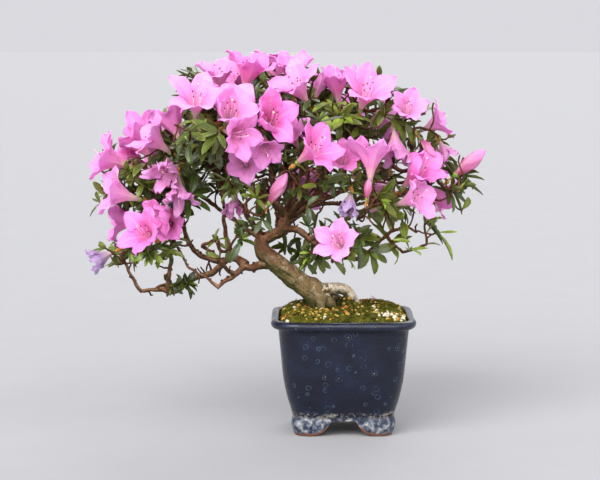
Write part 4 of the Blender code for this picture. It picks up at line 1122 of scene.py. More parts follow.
def fuse(parts):
    """One skin round overlapping closed objects. The first one keeps it, and the others go."""
    group = bpy.data.collections.new("parts_to_fuse")
    bpy.context.scene.collection.children.link(group)
    for part in parts[1:]:
        group.objects.link(part)
    modifier = parts[0].modifiers.new("fuse", "BOOLEAN")
    modifier.operation = "UNION"
    modifier.operand_type = "COLLECTION"
    modifier.collection = group
    modifier.solver = "MANIFOLD"
    keep_result(parts[0])
    for part in parts[1:]:
        bpy.data.objects.remove(part)
    bpy.data.collections.remove(group)
    return parts[0]


def path_finder(paths):
    """A tree that finds the nearest of many points along some paths."""
    points = [(point, number) for number, path in enumerate(paths) for point in path]
    finder = KDTree(len(points))
    for point, number in points:
        finder.insert(point, number)
    finder.balance()
    return finder


wood_parts = [tubes("wood", [(trunk_path, trunk_radii)], 56, trunk_bark, (9.0, 0.30), (2.2, 1.05))]
for i, one in enumerate(root_limbs):
    wood_parts.append(tubes(f"root_{i}", [one], 32, trunk_bark, (6.0, 0.34), (1.8, 0.55)))
for name, one in bough_limbs.items():
    sides = 18 if one[1][0] > THICK_BOUGH else 14
    wood_parts.append(tubes(name + "_tube", [one], sides, bough_bark, (4.5, 0.34), (1.3, 0.22)))
wood = fuse(wood_parts)
wood.name = "wood_bark"
wood.data.materials.clear()
for material in (trunk_bark, bough_bark, root_bark):
    wood.data.materials.append(material)

mesh = bmesh.new()
mesh.from_mesh(wood.data)
bmesh.ops.bisect_plane(mesh, geom=mesh.verts[:] + mesh.edges[:] + mesh.faces[:],
                       plane_co=Vector((0, 0, WOOD_FOOT)), plane_no=Vector((0, 0, 1)), clear_inner=True)
bmesh.ops.holes_fill(mesh, edges=[e for e in mesh.edges if e.is_boundary])
trunk_finder = path_finder([trunk_path] + [path for path, _ in root_limbs])
bough_finder = path_finder([path for path, _ in bough_limbs.values()])
for face in mesh.faces:
    middle = face.calc_center_median()
    _, limb_number, away = trunk_finder.find(middle)
    root_from = (ROOT_FROM_ABOVE if middle.z > ROOT_ABOVE else ROOT_FROM) + 9 * noise.noise(middle / 3.0)
    if bough_finder.find(middle)[2] * BOUGH_PULL < away:
        face.material_index = 1
    elif limb_number == ARCHED_ROOT and middle.x > root_from:
        face.material_index = 2
    else:
        face.material_index = 0
mesh.to_mesh(wood.data)
mesh.free()
settle(wood, ["trunk", *BOUGH_NODES])

# %% [markdown]
# ## Masses, blossom and sprigs
#
# The space of each mass and the ends of its leafy sprigs are those of the solids. The blooms that the
# photograph shows stand at their own place and heading, a few of them set more exactly than in the
# solids. A mass at the back, which nobody photographed, has tips that a seeded rule spreads over its
# outward side.

# %% Where blossom and leaves are
# Name, bough that carries it, middle of its space, half sizes of its space, seeded blooms and sprigs
MASSES = (
    ("mass_left_tip", "bough_left_sweep", (-158, -20, 150), (40, 60, 32), 0, 0),
    ("mass_left_low", "bough_left_stub", (-130, -28, 150), (24, 24, 26), 0, 0),
    ("mass_left_loop", "bough_left_loop", (-130, -10, 117), (22, 20, 16), 0, 0),
    ("mass_left_outer", "bough_left_upright", (-162, -4, 190), (38, 52, 50), 0, 0),
    ("mass_left_middle", "bough_left_shoot", (-130, -26, 178), (38, 30, 42), 0, 0),
    ("mass_left_upper", "bough_left_inner", (-136, 6, 222), (45, 54, 40), 1, 1),
    ("mass_inner_left", "bough_left_spur", (-98, -40, 152), (46, 28, 24), 0, 0),
    ("mass_upper_left", "bough_upper_left", (-100, -34, 244), (42, 78, 48), 0, 0),
    ("mass_top_left", "bough_top_centre", (-62, -18, 252), (30, 58, 50), 0, 0),
    ("mass_top_right", "bough_top_right", (-30, 8, 258), (30, 53, 36), 0, 0),
    ("mass_crown_right", "bough_right_crown", (10, -4, 250), (48, 50, 38), 1, 0),
    ("mass_right_upper", "bough_right_upper", (54, 2, 230), (44, 44, 42), 1, 0),
    ("mass_right_tip", "bough_right_middle", (74, 0, 192), (44, 46, 36), 1, 1),
    ("mass_right_low", "bough_right_shoot", (46, -26, 160), (36, 34, 34), 0, 0),
    ("mass_low_centre", "bough_front_low", (-10, -50, 150), (36, 46, 26), 0, 0),
    ("mass_centre", "bough_front", (-26, -52, 208), (41, 48, 50), 0, 0),
    ("mass_centre_left", "bough_front_left", (-68, -44, 196), (38, 32, 50), 0, 0),
    ("mass_centre_right", "bough_front_right", (18, -48, 190), (36, 36, 43), 0, 0),
    ("mass_back_left_low", "bough_middle_left", (-122, 56, 184), (46, 46, 32), 1, 1),
    ("mass_back_left", "bough_back_left", (-112, 60, 222), (51, 48, 46), 3, 1),
    ("mass_back_top", "bough_back_top", (-62, 56, 246), (46, 50, 50), 3, 1),
    ("mass_back_right", "bough_back_right", (8, 60, 232), (52, 52, 48), 3, 1),
    ("mass_back_low_right", "bough_back_low", (46, 56, 188), (50, 44, 38), 2, 1),
    ("mass_back_centre", "bough_back_centre", (-46, 84, 196), (48, 50, 44), 3, 1),
)
CROWN_MIDDLE = Vector((-50, 0, 190))
OUTWARD_LEAN = 0.9
UPWARD_LEAN = 0.15
BLOOM_REACH = 0.32
SPRIG_REACH = 0.42
GOLDEN_ANGLE = math.pi * (3 - math.sqrt(5))

# Blossom: kind, foot of the bloom, heading round from +X and up from level in degrees, size
BLOSSOM = {
    "mass_left_tip": (
        ("open", (-152, 2, 160), -175, 5, 1.0), ("open", (-141, -46, 152), -118, 20, 0.95),
        ("faded", (-173, -22, 141), -170, -25, 0.85),
    ),
    "mass_left_outer": (
        ("open", (-161, -10, 203), -168, 22, 1.05), ("open", (-153, -28, 180), -165, 16, 1.05),
        ("open", (-146, 14, 206), -195, 50, 1.0),
    ),
    "mass_left_middle": (
        ("faded", (-124, -24, 206), -115, -12, 1.25), ("faded", (-125, -34, 200), -85, -55, 1.15),
        ("open", (-126, -22, 172), -130, -8, 0.85),
    ),
    "mass_left_low": (
        ("open", (-131, -12, 161), -100, 0, 0.75),
    ),
    "mass_left_upper": (
        ("open", (-131, -14, 214), -160, 38, 1.0), ("open", (-126, 26, 220), 150, 62, 1.0),
    ),
    "mass_upper_left": (
        ("open", (-112, -36, 240), -80, 50, 1.15), ("open", (-95, -22, 240), -50, 66, 0.95),
        ("open", (-90, -54, 234), -50, -10, 0.95), ("open", (-95, 16, 256), -100, 72, 1.0),
        ("open", (-87, -38, 237), -82, 30, 1.15),
    ),
    "mass_top_left": (
        ("open", (-77, -6, 258), -30, 74, 1.1), ("open", (-58, -36, 236), -80, 16, 1.1),
        ("open", (-61, -38, 230), -78, -40, 0.8),
    ),
    "mass_top_right": (
        ("open", (-38, 20, 258), -100, 80, 1.05), ("open", (-26, -12, 250), -140, 52, 1.1),
        ("faded", (-22, 2, 254), 60, 60, 0.8),
    ),
    "mass_crown_right": (
        ("open", (-3, 2, 249), -130, 80, 1.0), ("open", (12, -18, 246), -68, 50, 1.1),
    ),
    "mass_right_upper": (
        ("open", (45, -12, 240), -75, 36, 0.85), ("faded", (38, -20, 235), -80, -70, 1.15),
        ("open", (59, 12, 230), -6, 26, 0.8), ("bud", (58, -12, 226), -30, -45, 0.8),
        ("faded", (73, 0, 225), 0, -60, 0.7),
    ),
    "mass_right_tip": (
        ("open", (44, -15, 187), -42, 42, 1.15), ("bud", (85, 0, 196), 0, 40, 1.35),
    ),
    "mass_right_low": (
        ("open", (38, -30, 176), -32, 20, 1.0),
    ),
    "mass_centre": (
        ("open", (-36, -64, 210), -40, 32, 1.1), ("open", (-34, -22, 218), -125, 50, 0.8),
        ("open", (-2, -26, 202), -85, 40, 0.8),
    ),
    "mass_centre_right": (
        ("open", (19, -48, 193), 80, 80, 1.1), ("bud", (16, -58, 182), 60, 75, 0.7),
        ("faded", (5, -54, 190), -110, -60, 0.8),
    ),
    "mass_centre_left": (
        ("open", (-73, -20, 205), -95, 10, 0.8), ("bud", (-57, -50, 178), -20, 58, 1.2),
        ("faded", (-82, -8, 184), -100, -50, 0.8),
    ),
    "mass_low_centre": (
        ("open", (0, -58, 146), -112, 22, 0.88),
    ),
}

# Sprigs of leaves: end of the twig, heading round and up in degrees
SPRIGS = {
    "mass_left_tip": (((-160, -14, 137), -160, 0), ((-147, -36, 140), -110, -10)),
    "mass_left_low": (((-132, -32, 143), -90, 10),),
    "mass_left_loop": (((-120, -10, 114), -50, 20),),
    "mass_left_outer": (((-162, -20, 200), -140, 20),),
    "mass_left_middle": (((-116, -32, 184), -50, 20),),
    "mass_left_upper": (((-126, -24, 237), -110, 60),),
    "mass_inner_left": (((-97, -42, 151), -110, 60), ((-77, -45, 152), -80, 30)),
    "mass_upper_left": (((-98, -50, 222), -90, 0),),
    "mass_top_left": (((-70, -40, 226), -110, -10),),
    "mass_top_right": (((-28, 26, 250), 80, 30),),
    "mass_crown_right": (((-3, -18, 240), -100, 20),),
    "mass_right_upper": (((52, -20, 222), -70, 0),),
    "mass_right_tip": (((84, 2, 188), 0, 5),),
    "mass_right_low": (((37, -32, 150), -60, 0), ((64, -18, 162), -20, 10)),
    "mass_low_centre": (((-26, -32, 138), -130, -10), ((10, -40, 152), -40, 0)),
    "mass_centre": (((-33, -44, 188), -100, -10), ((-12, -58, 198), -50, 0)),
    "mass_centre_left": (((-62, -42, 166), -100, -20), ((-82, -42, 192), -130, 10)),
    "mass_centre_right": (((27, -48, 182), -50, 0),),
}


def aim(turn, rise):
    """Unit vector from a heading round and up, in degrees."""
    turn = math.radians(turn)
    rise = math.radians(rise)
    return Vector((math.cos(rise) * math.cos(turn), math.cos(rise) * math.sin(turn), math.sin(rise)))


def square_to(axis, turn):
    """Two unit vectors square to an axis, turned round it."""
    side = axis.orthogonal().normalized()
    side.rotate(Matrix.Rotation(turn, 3, axis))
    return side, axis.cross(side)


class Tip:
    """The end of one twig, with the blossom or the sprig of leaves that it carries."""

    def __init__(self, kind, place, way, size, seed, shown=False):
        self.kind = kind
        self.place = Vector(place)
        self.way = way
        self.size = size
        self.rng = random.Random(seed)
        self.turn = self.rng.uniform(0, FULL_TURN)
        self.shown = shown
        self.bare = False
        self.path = None


def leaf_scale(place):
    """Leaves are small on the shaded wood low on the left and in the middle."""
    if place[2] < 170 and place[0] < -20:
        return 0.58
    return 0.74 if place[2] < 208 and -105 < place[0] < 8 else 1.0


def shown_tips(name):
    """The tips of a mass that the photograph shows."""
    tips = []
    for kind, place, turn, rise, size in BLOSSOM.get(name, ()):
        tips.append(Tip(kind, place, aim(turn, rise), size, f"{name} bloom {len(tips)}", shown=True))
    for place, turn, rise in SPRIGS.get(name, ()):
        size = leaf_scale(place)
        tips.append(Tip("sprig", place, aim(turn, rise), size, f"{name} sprig {len(tips)}", shown=True))
    return tips


def outward_of(middle):
    """The way from the crown's middle to a mass."""
    return (Vector(middle) - CROWN_MIDDLE).normalized()


def seeded_tips(mass):
    """Tips spread over a mass's space, mostly on its outward side, the sprigs after a bloom."""
    name, _, middle, half_sizes, seeded_blooms, seeded_sprigs = mass
    total = seeded_blooms + seeded_sprigs
    start = random.Random(name).uniform(0, FULL_TURN)
    tips = []
    for i in range(total):
        level = 1 - (2 * i + 1) / total
        ring = math.sqrt(1 - level * level)
        angle = start + i * GOLDEN_ANGLE
        way = Vector((ring * math.cos(angle), ring * math.sin(angle), level))
        way = (way + outward_of(middle) * OUTWARD_LEAN + Vector((0, 0, UPWARD_LEAN))).normalized()
        kind = "sprig" if 1 <= i <= seeded_sprigs else "open"
        reach = SPRIG_REACH if kind == "sprig" else BLOOM_REACH
        place = Vector(middle) + Vector([way[k] * half_sizes[k] * reach for k in range(3)])
        tips.append(Tip(kind, place, way, 1.0, f"{name} seeded {i}"))
    return tips


tips_of = {mass[0]: shown_tips(mass[0]) + seeded_tips(mass) for mass in MASSES}
print("tips:", sum(len(tips) for tips in tips_of.values()))

# %% [markdown]
# ## More blossom, within the crown's edge
#
# The solids carry only the larger blooms. An azalea in full flower has more on every side, so each
# mass that looks backwards or upwards gets some more by the same rule, as far from their neighbours
# as blooms can stand. One that would hide a bloom of the photograph is left out.
#
# The photograph also tells where the crown ends and where it is open. Its edge is kept as a ring of
# points in the plane of the pot's middle, and a few boxes inside it are windows of open sky. The
# camera's place says where in that plane any point is seen. No bloom that the rule adds may reach
# past the edge or into a window.

# %% More blossom
MORE_BLOOMS = {
    "mass_back_left_low": 5, "mass_back_left": 5, "mass_back_top": 7, "mass_back_right": 7,
    "mass_back_low_right": 6, "mass_back_centre": 7, "mass_left_upper": 2, "mass_left_outer": 1,
    "mass_top_left": 1, "mass_top_right": 2, "mass_crown_right": 2, "mass_right_upper": 1,
    "mass_right_tip": 2,
}
MOUTH_AT = 25.0
MOUTH_CLEAR = 30.0
BLOOM_APART = 19.0
EDGE_REACH = 15.0
BLOOM_TRIES = 60
BACKWARD_LEAN = 0.2
# The crown's edge in the plane of the pot's middle: across and up
CROWN_EDGE = (
    (-199, 125), (-203, 147), (-196, 174), (-192, 201), (-203, 210), (-201, 224), (-187, 237), (-172, 235),
    (-160, 243), (-147, 249), (-136, 249), (-137, 264), (-132, 277), (-118, 285), (-89, 285), (-84, 300),
    (-70, 300), (-56, 292), (-41, 300), (-32, 294), (-19, 277), (-8, 275), (-7, 286), (5, 282), (28, 285),
    (36, 268), (50, 266), (64, 254), (78, 251), (89, 230), (89, 218), (108, 216), (115, 192), (110, 179),
    (93, 169), (81, 159), (76, 144), (65, 125), (52, 133), (38, 139), (15, 124), (2, 116), (-6, 125),
    (-33, 130), (-62, 130), (-110, 130), (-149, 130), (-172, 125),
)
# Windows of open sky: left, right, bottom and top
SKY = ((-119, -100, 150, 186), (-108, -91, 168, 184), (-88, -65, 137, 145))


def seen_at(point):
    """Where the camera sees a point: across and up, in the plane of the pot's middle."""
    share = CAMERA.y / (CAMERA.y - point[1])
    return CAMERA.x + (point[0] - CAMERA.x) * share, CAMERA.z + (point[2] - CAMERA.z) * share


def mouth(tip):
    """The middle of a bloom's mouth."""
    return tip.place + tip.way * MOUTH_AT * tip.size


def in_open_air(point):
    """Whether a point is seen outside the crown's edge or in a window of sky."""
    across, up = seen_at(point)
    for left, right, bottom, top in SKY:
        if left < across < right and bottom < up < top:
            return True
    inside = False
    last = CROWN_EDGE[-1]
    for corner in CROWN_EDGE:
        if (corner[1] > up) != (last[1] > up):
            cut = corner[0] + (up - corner[1]) * (last[0] - corner[0]) / (last[1] - corner[1])
            if across < cut:
                inside = not inside
        last = corner
    return not inside


def leaves_crown(tip):
    """Whether a bloom's mouth is seen past the crown's edge."""
    side, other = square_to(tip.way, 0)
    ring = [math.cos(a) * side + math.sin(a) * other for a in np.linspace(0, FULL_TURN, 9)[:-1]]
    return any(in_open_air(mouth(tip) + way * EDGE_REACH * tip.size) for way in ring)


def all_tips():
    """Every tip, mass by mass."""
    return [tip for tips in tips_of.values() for tip in tips]


def within(middle, half_sizes, way, reach):
    """The place this far out from the middle of a mass's space."""
    return Vector([middle[k] + way[k] * half_sizes[k] * reach for k in range(3)])


shown_mouths = [mouth(tip) for tip in all_tips() if tip.shown and tip.kind != "sprig"]


def covers_shown(point, clear):
    """Whether a point stands in front of a bloom of the photograph."""
    across, up = seen_at(point)
    for other in shown_mouths:
        other_across, other_up = seen_at(other)
        if point.y < other.y and math.hypot(across - other_across, up - other_up) < clear:
            return True
    return False


for name, tips in tips_of.items():
    tips_of[name] = [tip for tip in tips if tip.shown or tip.kind == "sprig" or not leaves_crown(tip)]
feet = [tip.place for tip in all_tips() if tip.kind != "sprig"]
for name, _, middle, half_sizes, _, _ in MASSES:
    rng = random.Random(name + " more")
    wanted = MORE_BLOOMS.get(name, 0)
    for attempt in range(wanted * BLOOM_TRIES):
        if wanted == 0:
            break
        way = Vector([rng.gauss(0, 1) for _ in range(3)]).normalized()
        way = way + outward_of(middle) * OUTWARD_LEAN + Vector((0, BACKWARD_LEAN, UPWARD_LEAN))
        way.normalize()
        place = within(middle, half_sizes, way, BLOOM_REACH)
        tip = Tip("open", place, way, rng.uniform(0.85, 1.05), f"{name} more {attempt}")
        crowded = min((place - other).length for other in feet) < BLOOM_APART
        if crowded or covers_shown(mouth(tip), MOUTH_CLEAR) or leaves_crown(tip):
            continue
        tips_of[name].append(tip)
        feet.append(place)
        wanted -= 1
print("blossom:", len(feet))

# %% [markdown]
# ## A bloom's petals
#
# An azalea's bloom is one funnel that divides half way up into five pointed lobes. Each lobe is made
# as a grid of points: rows run from the foot to the tip, columns across. In the funnel a row bends
# round the bloom's axis, so that neighbouring lobes meet. Past the notch it flattens, widens over its
# neighbour and narrows to the tip. A few numbers that differ from lobe to lobe give the live look:
# how far it opens, twists and rolls back, and the waves in its edge. Two such grids, a hair apart and
# joined along the rim, make a closed thin petal.
#
# Real blooms push each other aside. So each lobe is tried fully open first, and is closed a little
# further until it cuts through no petal that is already there. If none of the openings is free, it
# stays at the most closed one.

# %% The lobes of a bloom
BLOOM_DEPTH = 31.0
BLOOM_RADIUS = 19.0
LOBES = 5
# The line up the middle of a lobe: share of the depth along the axis, share of the radius out
LOBE_LINE = ((0.0, 0.05), (0.18, 0.10), (0.34, 0.18), (0.48, 0.32), (0.62, 0.47), (0.75, 0.64), (0.86, 0.81),
             (0.93, 0.93), (0.96, 1.0))
# Half width of a lobe, as a share of its widest, from the notch to the tip
LOBE_OUTLINE = (0.58, 0.80, 0.95, 1.0, 0.97, 0.86, 0.66, 0.38, 0.03)
LOBE_WIDEST = 8.3
NOTCH = 0.46
PETAL_THICKNESS = 0.34
ROWS = np.array((0.0, 0.14, 0.27, 0.37, 0.46, 0.53, 0.60, 0.67, 0.74, 0.81, 0.87, 0.92, 0.96, 0.985, 1.0))
COLUMNS = np.array((-1.0, -0.86, -0.55, -0.22, 0.0, 0.22, 0.55, 0.86, 1.0))
THROAT_FROM = 2
LOBE_FROM = 5
OPENINGS = (1.0, 0.88, 0.76, 0.64, 0.52, 0.42)
MOST_OPEN = (0.82, 1.08)
WITHERED_OPEN = (0.32, 0.6)
WITHERED_SIZE = 0.8
WITHERED_WILD = 2.2
WITHERED_WIDTH = 0.62
WITHERED_CUP = 0.12
WAVES = 2.1
NEIGHBOUR_REACH = 80.0

lobe_line = between(LOBE_LINE, 8)
lobe_steps = line_steps(lobe_line)
lobe_steps /= lobe_steps[-1]


def ease(values):
    """A smooth step from 0 to 1."""
    values = np.clip(values, 0, 1)
    return values * values * (3 - 2 * values)


class Lobe:
    """The habits of one lobe, drawn from its bloom's seed."""

    def __init__(self, rng, number, withered):
        wild = WITHERED_WILD if withered else 1.0
        self.angle = number * FULL_TURN / LOBES
        self.swing = rng.uniform(-0.13, 0.13) * wild
        self.long = rng.uniform(-0.08, 0.08)
        self.wide = rng.uniform(0.88, 1.08) * (WITHERED_WIDTH if withered else 1.0)
        self.cup = rng.uniform(-0.05, 0.03) - (WITHERED_CUP if withered else 0.0)
        self.twist = rng.uniform(-0.22, 0.22) * wild
        self.roll = rng.uniform(-0.5, 4.5) * wild
        self.wave = rng.uniform(0.7, 1.6) * wild
        self.phase = rng.uniform(0, FULL_TURN)
        self.other_phase = rng.uniform(0, FULL_TURN)
        self.bend = rng.uniform(-1.5, 1.5) * wild


def lobe_grid(tip, lobe, opening):
    """Points of the lobe's middle surface, row by row, and the unit normals into the bloom."""
    side, other = (np.array(v) for v in square_to(tip.way, tip.turn))
    axis = np.array(tip.way)
    past = np.clip((ROWS - NOTCH) / (1 - NOTCH), 0, 1)
    free = ease(past)
    depth = BLOOM_DEPTH * tip.size * (1 + 0.22 * (1 - opening) * free) * (1 + lobe.long * free)
    radius = BLOOM_RADIUS * tip.size * (0.9 + (opening - 0.9) * free)
    along = depth * np.interp(ROWS, lobe_steps, lobe_line[:, 0])
    out = radius * np.interp(ROWS, lobe_steps, lobe_line[:, 1])
    # The lobe's middle line, and the ways along it, across it and into the bloom
    angle = lobe.angle + lobe.swing * free
    way_out = np.cos(angle)[:, None] * side + np.sin(angle)[:, None] * other
    middle = np.array(tip.place) + along[:, None] * axis + out[:, None] * way_out
    tangent = np.gradient(middle, axis=0)
    tangent /= np.linalg.norm(tangent, axis=1)[:, None]
    across = np.cross(axis, way_out)
    inward = np.cross(tangent, across)
    # How wide each row is and how sharply it bends
    widths = np.interp(past, np.linspace(0, 1, len(LOBE_OUTLINE)), LOBE_OUTLINE)
    outline = LOBE_WIDEST * tip.size * lobe.wide * widths
    half = out * math.pi / LOBES
    half = half + (outline - half) * ease(past / 0.22)
    bend = 1 / out[np.searchsorted(ROWS, NOTCH)]
    bend = np.where(past > 0, bend + (lobe.cup - bend) * ease(past / 0.6), 1 / out)
    bend = np.where(np.abs(bend) < 1e-3, 1e-3, bend)[:, None]
    reach = half[:, None] * COLUMNS
    sideways = np.sin(bend * reach) / bend + (lobe.bend * tip.size * free ** 2)[:, None]
    # The lift off the middle line: overlap, groove, waves, twist and the tip's roll
    overlap = ease(past / 0.3)[:, None]
    lift = (1 - np.cos(bend * reach)) / bend + 0.6 * tip.size * COLUMNS * overlap
    lift = lift - 0.8 * np.exp(-(COLUMNS / 0.2) ** 2) * np.minimum(1, 0.4 + past)[:, None]
    phases = np.where(COLUMNS > 0, lobe.phase, lobe.other_phase)
    waves = np.sin(FULL_TURN * WAVES * past[:, None] + phases)
    lift = lift + lobe.wave * tip.size * waves * np.abs(COLUMNS) ** 2.5 * overlap
    lift = lift + math.tan(lobe.twist) * reach * free[:, None]
    lift = lift - (lobe.roll * tip.size * past ** 3)[:, None]
    grid = middle[:, None] + sideways[:, :, None] * across[:, None] + lift[:, :, None] * inward[:, None]
    normals = np.cross(np.gradient(grid, axis=0), np.gradient(grid, axis=1))
    normals /= np.maximum(np.linalg.norm(normals, axis=2), 1e-9)[:, :, None]
    return grid, normals


def lobe_skin(grid):
    """The free part of a lobe as a tree for overlap tests."""
    points = [Vector(p) for p in grid[LOBE_FROM:].reshape(-1, 3)]
    return BVHTree.FromPolygons(points, grid_faces(len(ROWS) - 1 - LOBE_FROM, len(COLUMNS) - 1))


def open_bloom(tip, neighbours):
    """Open each lobe of a bloom as far as its neighbours let it."""
    withered = tip.kind == "faded"
    if withered:
        tip.size *= WITHERED_SIZE
    most = tip.rng.uniform(*(WITHERED_OPEN if withered else MOST_OPEN))
    near = [other for other in neighbours if (other.place - tip.place).length < NEIGHBOUR_REACH]
    skins = [skin for other in near for skin in other.skins]
    tip.grids, tip.skins = [], []
    for number in range(LOBES):
        lobe = Lobe(tip.rng, number, withered)
        for opening in OPENINGS:
            grid, normals = lobe_grid(tip, lobe, opening * most)
            skin = lobe_skin(grid)
            if not any(skin.overlap(other) for other in skins):
                break
        tip.grids.append((grid, normals))
        tip.skins.append(skin)
    neighbours.append(tip)


flowers = []
for shown in (True, False):
    for tip in all_tips():
        if tip.kind in ("open", "faded") and tip.shown == shown:
            open_bloom(tip, flowers)
print("blooms:", len(flowers))

# %% [markdown]
# ## Where nothing else may grow
#
# A twig or a leaf must not pierce a bloom, nor stand in front of its mouth. A bloom is near enough to
# a cone for that test, so all points are held against all cones at once. Leaves also keep out of the
# line of sight to a bloom that the photograph shows. In a few boxes of the view the boughs stand
# nearly bare, so that most leaves are left out there.

# %% Tests against blooms and bare places
bloom_feet = np.array([tuple(tip.place) for tip in flowers])
bloom_ways = np.array([tuple(tip.way) for tip in flowers])
bloom_sizes = np.array([tip.size * (0.5 if tip.kind == "faded" else 1.0) for tip in flowers])
# Two places on each bloom or bud of the photograph that leaves keep clear of: how far along and clear
SEEN_SHARES = (0.45, 0.85)
seen_tips = [tip for tip in all_tips() if tip.shown and tip.kind != "sprig"]
seen_pairs = [(tip, share) for tip in seen_tips for share in SEEN_SHARES]
seen_places = [tip.place + tip.way * BLOOM_DEPTH * tip.size * share for tip, share in seen_pairs]
bloom_seen = np.array([seen_at(place) for place in seen_places])
bloom_front = np.array([place.y for place in seen_places])
bloom_clear = np.array([BLOOM_RADIUS * tip.size * share for tip, share in seen_pairs])
bloom_clear *= np.array([0.5 if tip.kind != "open" else 1.0 for tip, _ in seen_pairs])
# Nearly bare places: left, right, bottom, top and the share of leaves that stays
BARE = (
    (-128, -62, 136, 174, 0.12), (-110, -62, 174, 205, 0.25), (-62, -8, 128, 172, 0.04),
    (-62, -12, 172, 204, 0.12), (-8, 20, 128, 182, 0.25), (-175, -128, 100, 132, 0.4),
    (20, 120, 120, 180, 0.05), (20, 120, 180, 215, 0.14), (-10, 100, 215, 262, 0.35),
)
# Behind the trunk the boughs are leafier
BACK_FROM = 8.0
BACK_STAYS = 0.6
# A bloom's room: how far along its axis, and its radius there as a share of the mouth's
ROOM_ALONG = (0.0, 0.5, 1.0, 1.5)
ROOM_RADIUS = (0.14, 0.42, 1.0, 1.0)
ROOM_FROM = 0.06
ROOM_MARGIN = 0.8


def meets_bloom(points, own=None, front=1.45):
    """For each point, whether it lies in a bloom or in front of its mouth."""
    points = np.array([tuple(p) for p in points])
    offset = points[:, None] - bloom_feet
    along = (offset * bloom_ways).sum(axis=2)
    away = np.linalg.norm(offset - along[:, :, None] * bloom_ways, axis=2)
    share = along / (BLOOM_DEPTH * bloom_sizes)
    limit = np.interp(share, ROOM_ALONG, ROOM_RADIUS) * BLOOM_RADIUS * bloom_sizes + ROOM_MARGIN
    inside = (share > ROOM_FROM) & (share < front) & (away < limit)
    if own in flowers:
        inside[:, flowers.index(own)] = False
    return inside.any(axis=1)


def hides_bloom(point):
    """Whether a point stands in front of a bloom or bud that the photograph shows."""
    gap = np.linalg.norm(bloom_seen - np.array(seen_at(point)), axis=1)
    return bool(((gap < bloom_clear) & (point[1] < bloom_front + 4)).any())


def leafiness(point):
    """The share of leaves that stays where a point is seen."""
    across, up = seen_at(point)
    for left, right, bottom, top, share in BARE:
        if left < across < right and bottom < up < top:
            return (max(share, BACK_STAYS) if point[1] > BACK_FROM else share) ** 0.5
    return 1.0


# %% [markdown]
# ## Finer sprigs
#
# The solids have room for few sprigs. Here the same rule is carried further: more sprigs fill each
# mass's space, evenly enough that none stands closer than half a leaf's length to the next. Those
# that the photograph shows come first, at their own places. Each of the others points away from the
# middle of its mass and of the crown, and up towards the light. Some stay bare twigs, most of them
# where the boughs are nearly bare.

# %% More sprigs
# Rosettes of leaves that the photograph shows besides the tables above: place, heading round and up
ROSETTES = (
    ((37, -30, 147), -60, 50), ((92, 2, 190), 10, 10), ((-128, -25, 237), -130, 40),
    ((-120, -30, 233), -90, 20), ((-106, -50, 224), -120, 55), ((-3, -15, 244), -90, 40),
    ((-122, -8, 113), -80, 20), ((-164, -15, 200), -150, 20), ((-132, -10, 113), -110, -20),
    ((-29, -30, 133), -120, -20), ((62, -18, 162), -40, 55), ((74, -10, 154), -20, 25),
    ((50, -25, 142), -50, 40), ((8, -35, 154), -80, 10), ((-27, -40, 161), -90, 10),
    ((-72, -40, 161), -100, -10), ((27, -45, 181), -60, 10), ((82, -8, 186), -30, 0),
    ((-147, -35, 143), -110, -20), ((-132, -25, 142), -80, -10), ((-163, -15, 137), -150, -20),
    ((-171, -10, 148), -170, 0), ((31, -20, 244), -60, 50), ((-10, 5, 247), -90, 60),
    ((-78, -40, 192), -110, 0), ((44, -36, 166), -80, 50), ((20, -30, 140), -70, -20),
    ((-24, 14, 141), -60, 10), ((-34, 18, 134), -100, 0), ((-14, 16, 150), -40, 20),
    ((-20, 22, 130), -80, -20), ((-44, 20, 140), -120, 10),
)
SPRIG_VOLUME = 18000.0
SPRIG_SPACING = 13.5
SPRIG_TRIES = 8
SPRIGS_WITHIN = 0.74
SPRIG_OUTWARD = 0.7
SPRIG_UPWARD = 1.1
CROWN_BOTTOM = 128.0


def nearest_mass(place):
    """The name of the mass whose space a place lies deepest in."""
    def depth(mass):
        return sum(((place[k] - mass[2][k]) / mass[3][k]) ** 2 for k in range(3))
    return min(MASSES, key=depth)[0]


all_places = [tip.place for tip in all_tips()]
for place, turn, rise in ROSETTES:
    tip = Tip("sprig", place, aim(turn, rise), leaf_scale(place), f"rosette {place}", shown=True)
    tips_of[nearest_mass(place)].append(tip)
    all_places.append(tip.place)
for name, _, middle, half_sizes, _, _ in MASSES:
    rng = random.Random(name + " finer")
    volume = 4 / 3 * math.pi * half_sizes[0] * half_sizes[1] * half_sizes[2]
    wanted = round(volume / SPRIG_VOLUME)
    for attempt in range(wanted * SPRIG_TRIES):
        if wanted == 0:
            break
        way = Vector([rng.gauss(0, 1) for _ in range(3)]).normalized()
        place = within(middle, half_sizes, way, rng.uniform(0.15, 1.0) ** 0.5 * SPRIGS_WITHIN)
        if place.z < CROWN_BOTTOM or min((place - other).length for other in all_places) < SPRIG_SPACING:
            continue
        if meets_bloom([place])[0] or hides_bloom(place) or in_open_air(place):
            continue
        heading = way + (place - CROWN_MIDDLE).normalized() * SPRIG_OUTWARD + Vector((0, 0, SPRIG_UPWARD))
        size = rng.uniform(0.8, 1.05) * leaf_scale(place)
        tip = Tip("sprig", place, heading.normalized(), size, f"{name} finer {attempt}")
        tip.bare = rng.random() > leafiness(place)
        tips_of[name].append(tip)
        all_places.append(place)
        wanted -= 1
print("tips with the finer sprigs:", len(all_places))

# %% [markdown]
# ## Twigs
#
# A twig grows from the nearest wood that is already there, leaves it forwards and arrives along its
# tip's heading. It is a cubic curve between those two directions, with kinks. One that would pierce a
# bloom is tried again with a wider bend and then from another joint. Wood thickens with what it
# carries, so each twig's girth at a point goes by the number of tips beyond that point.

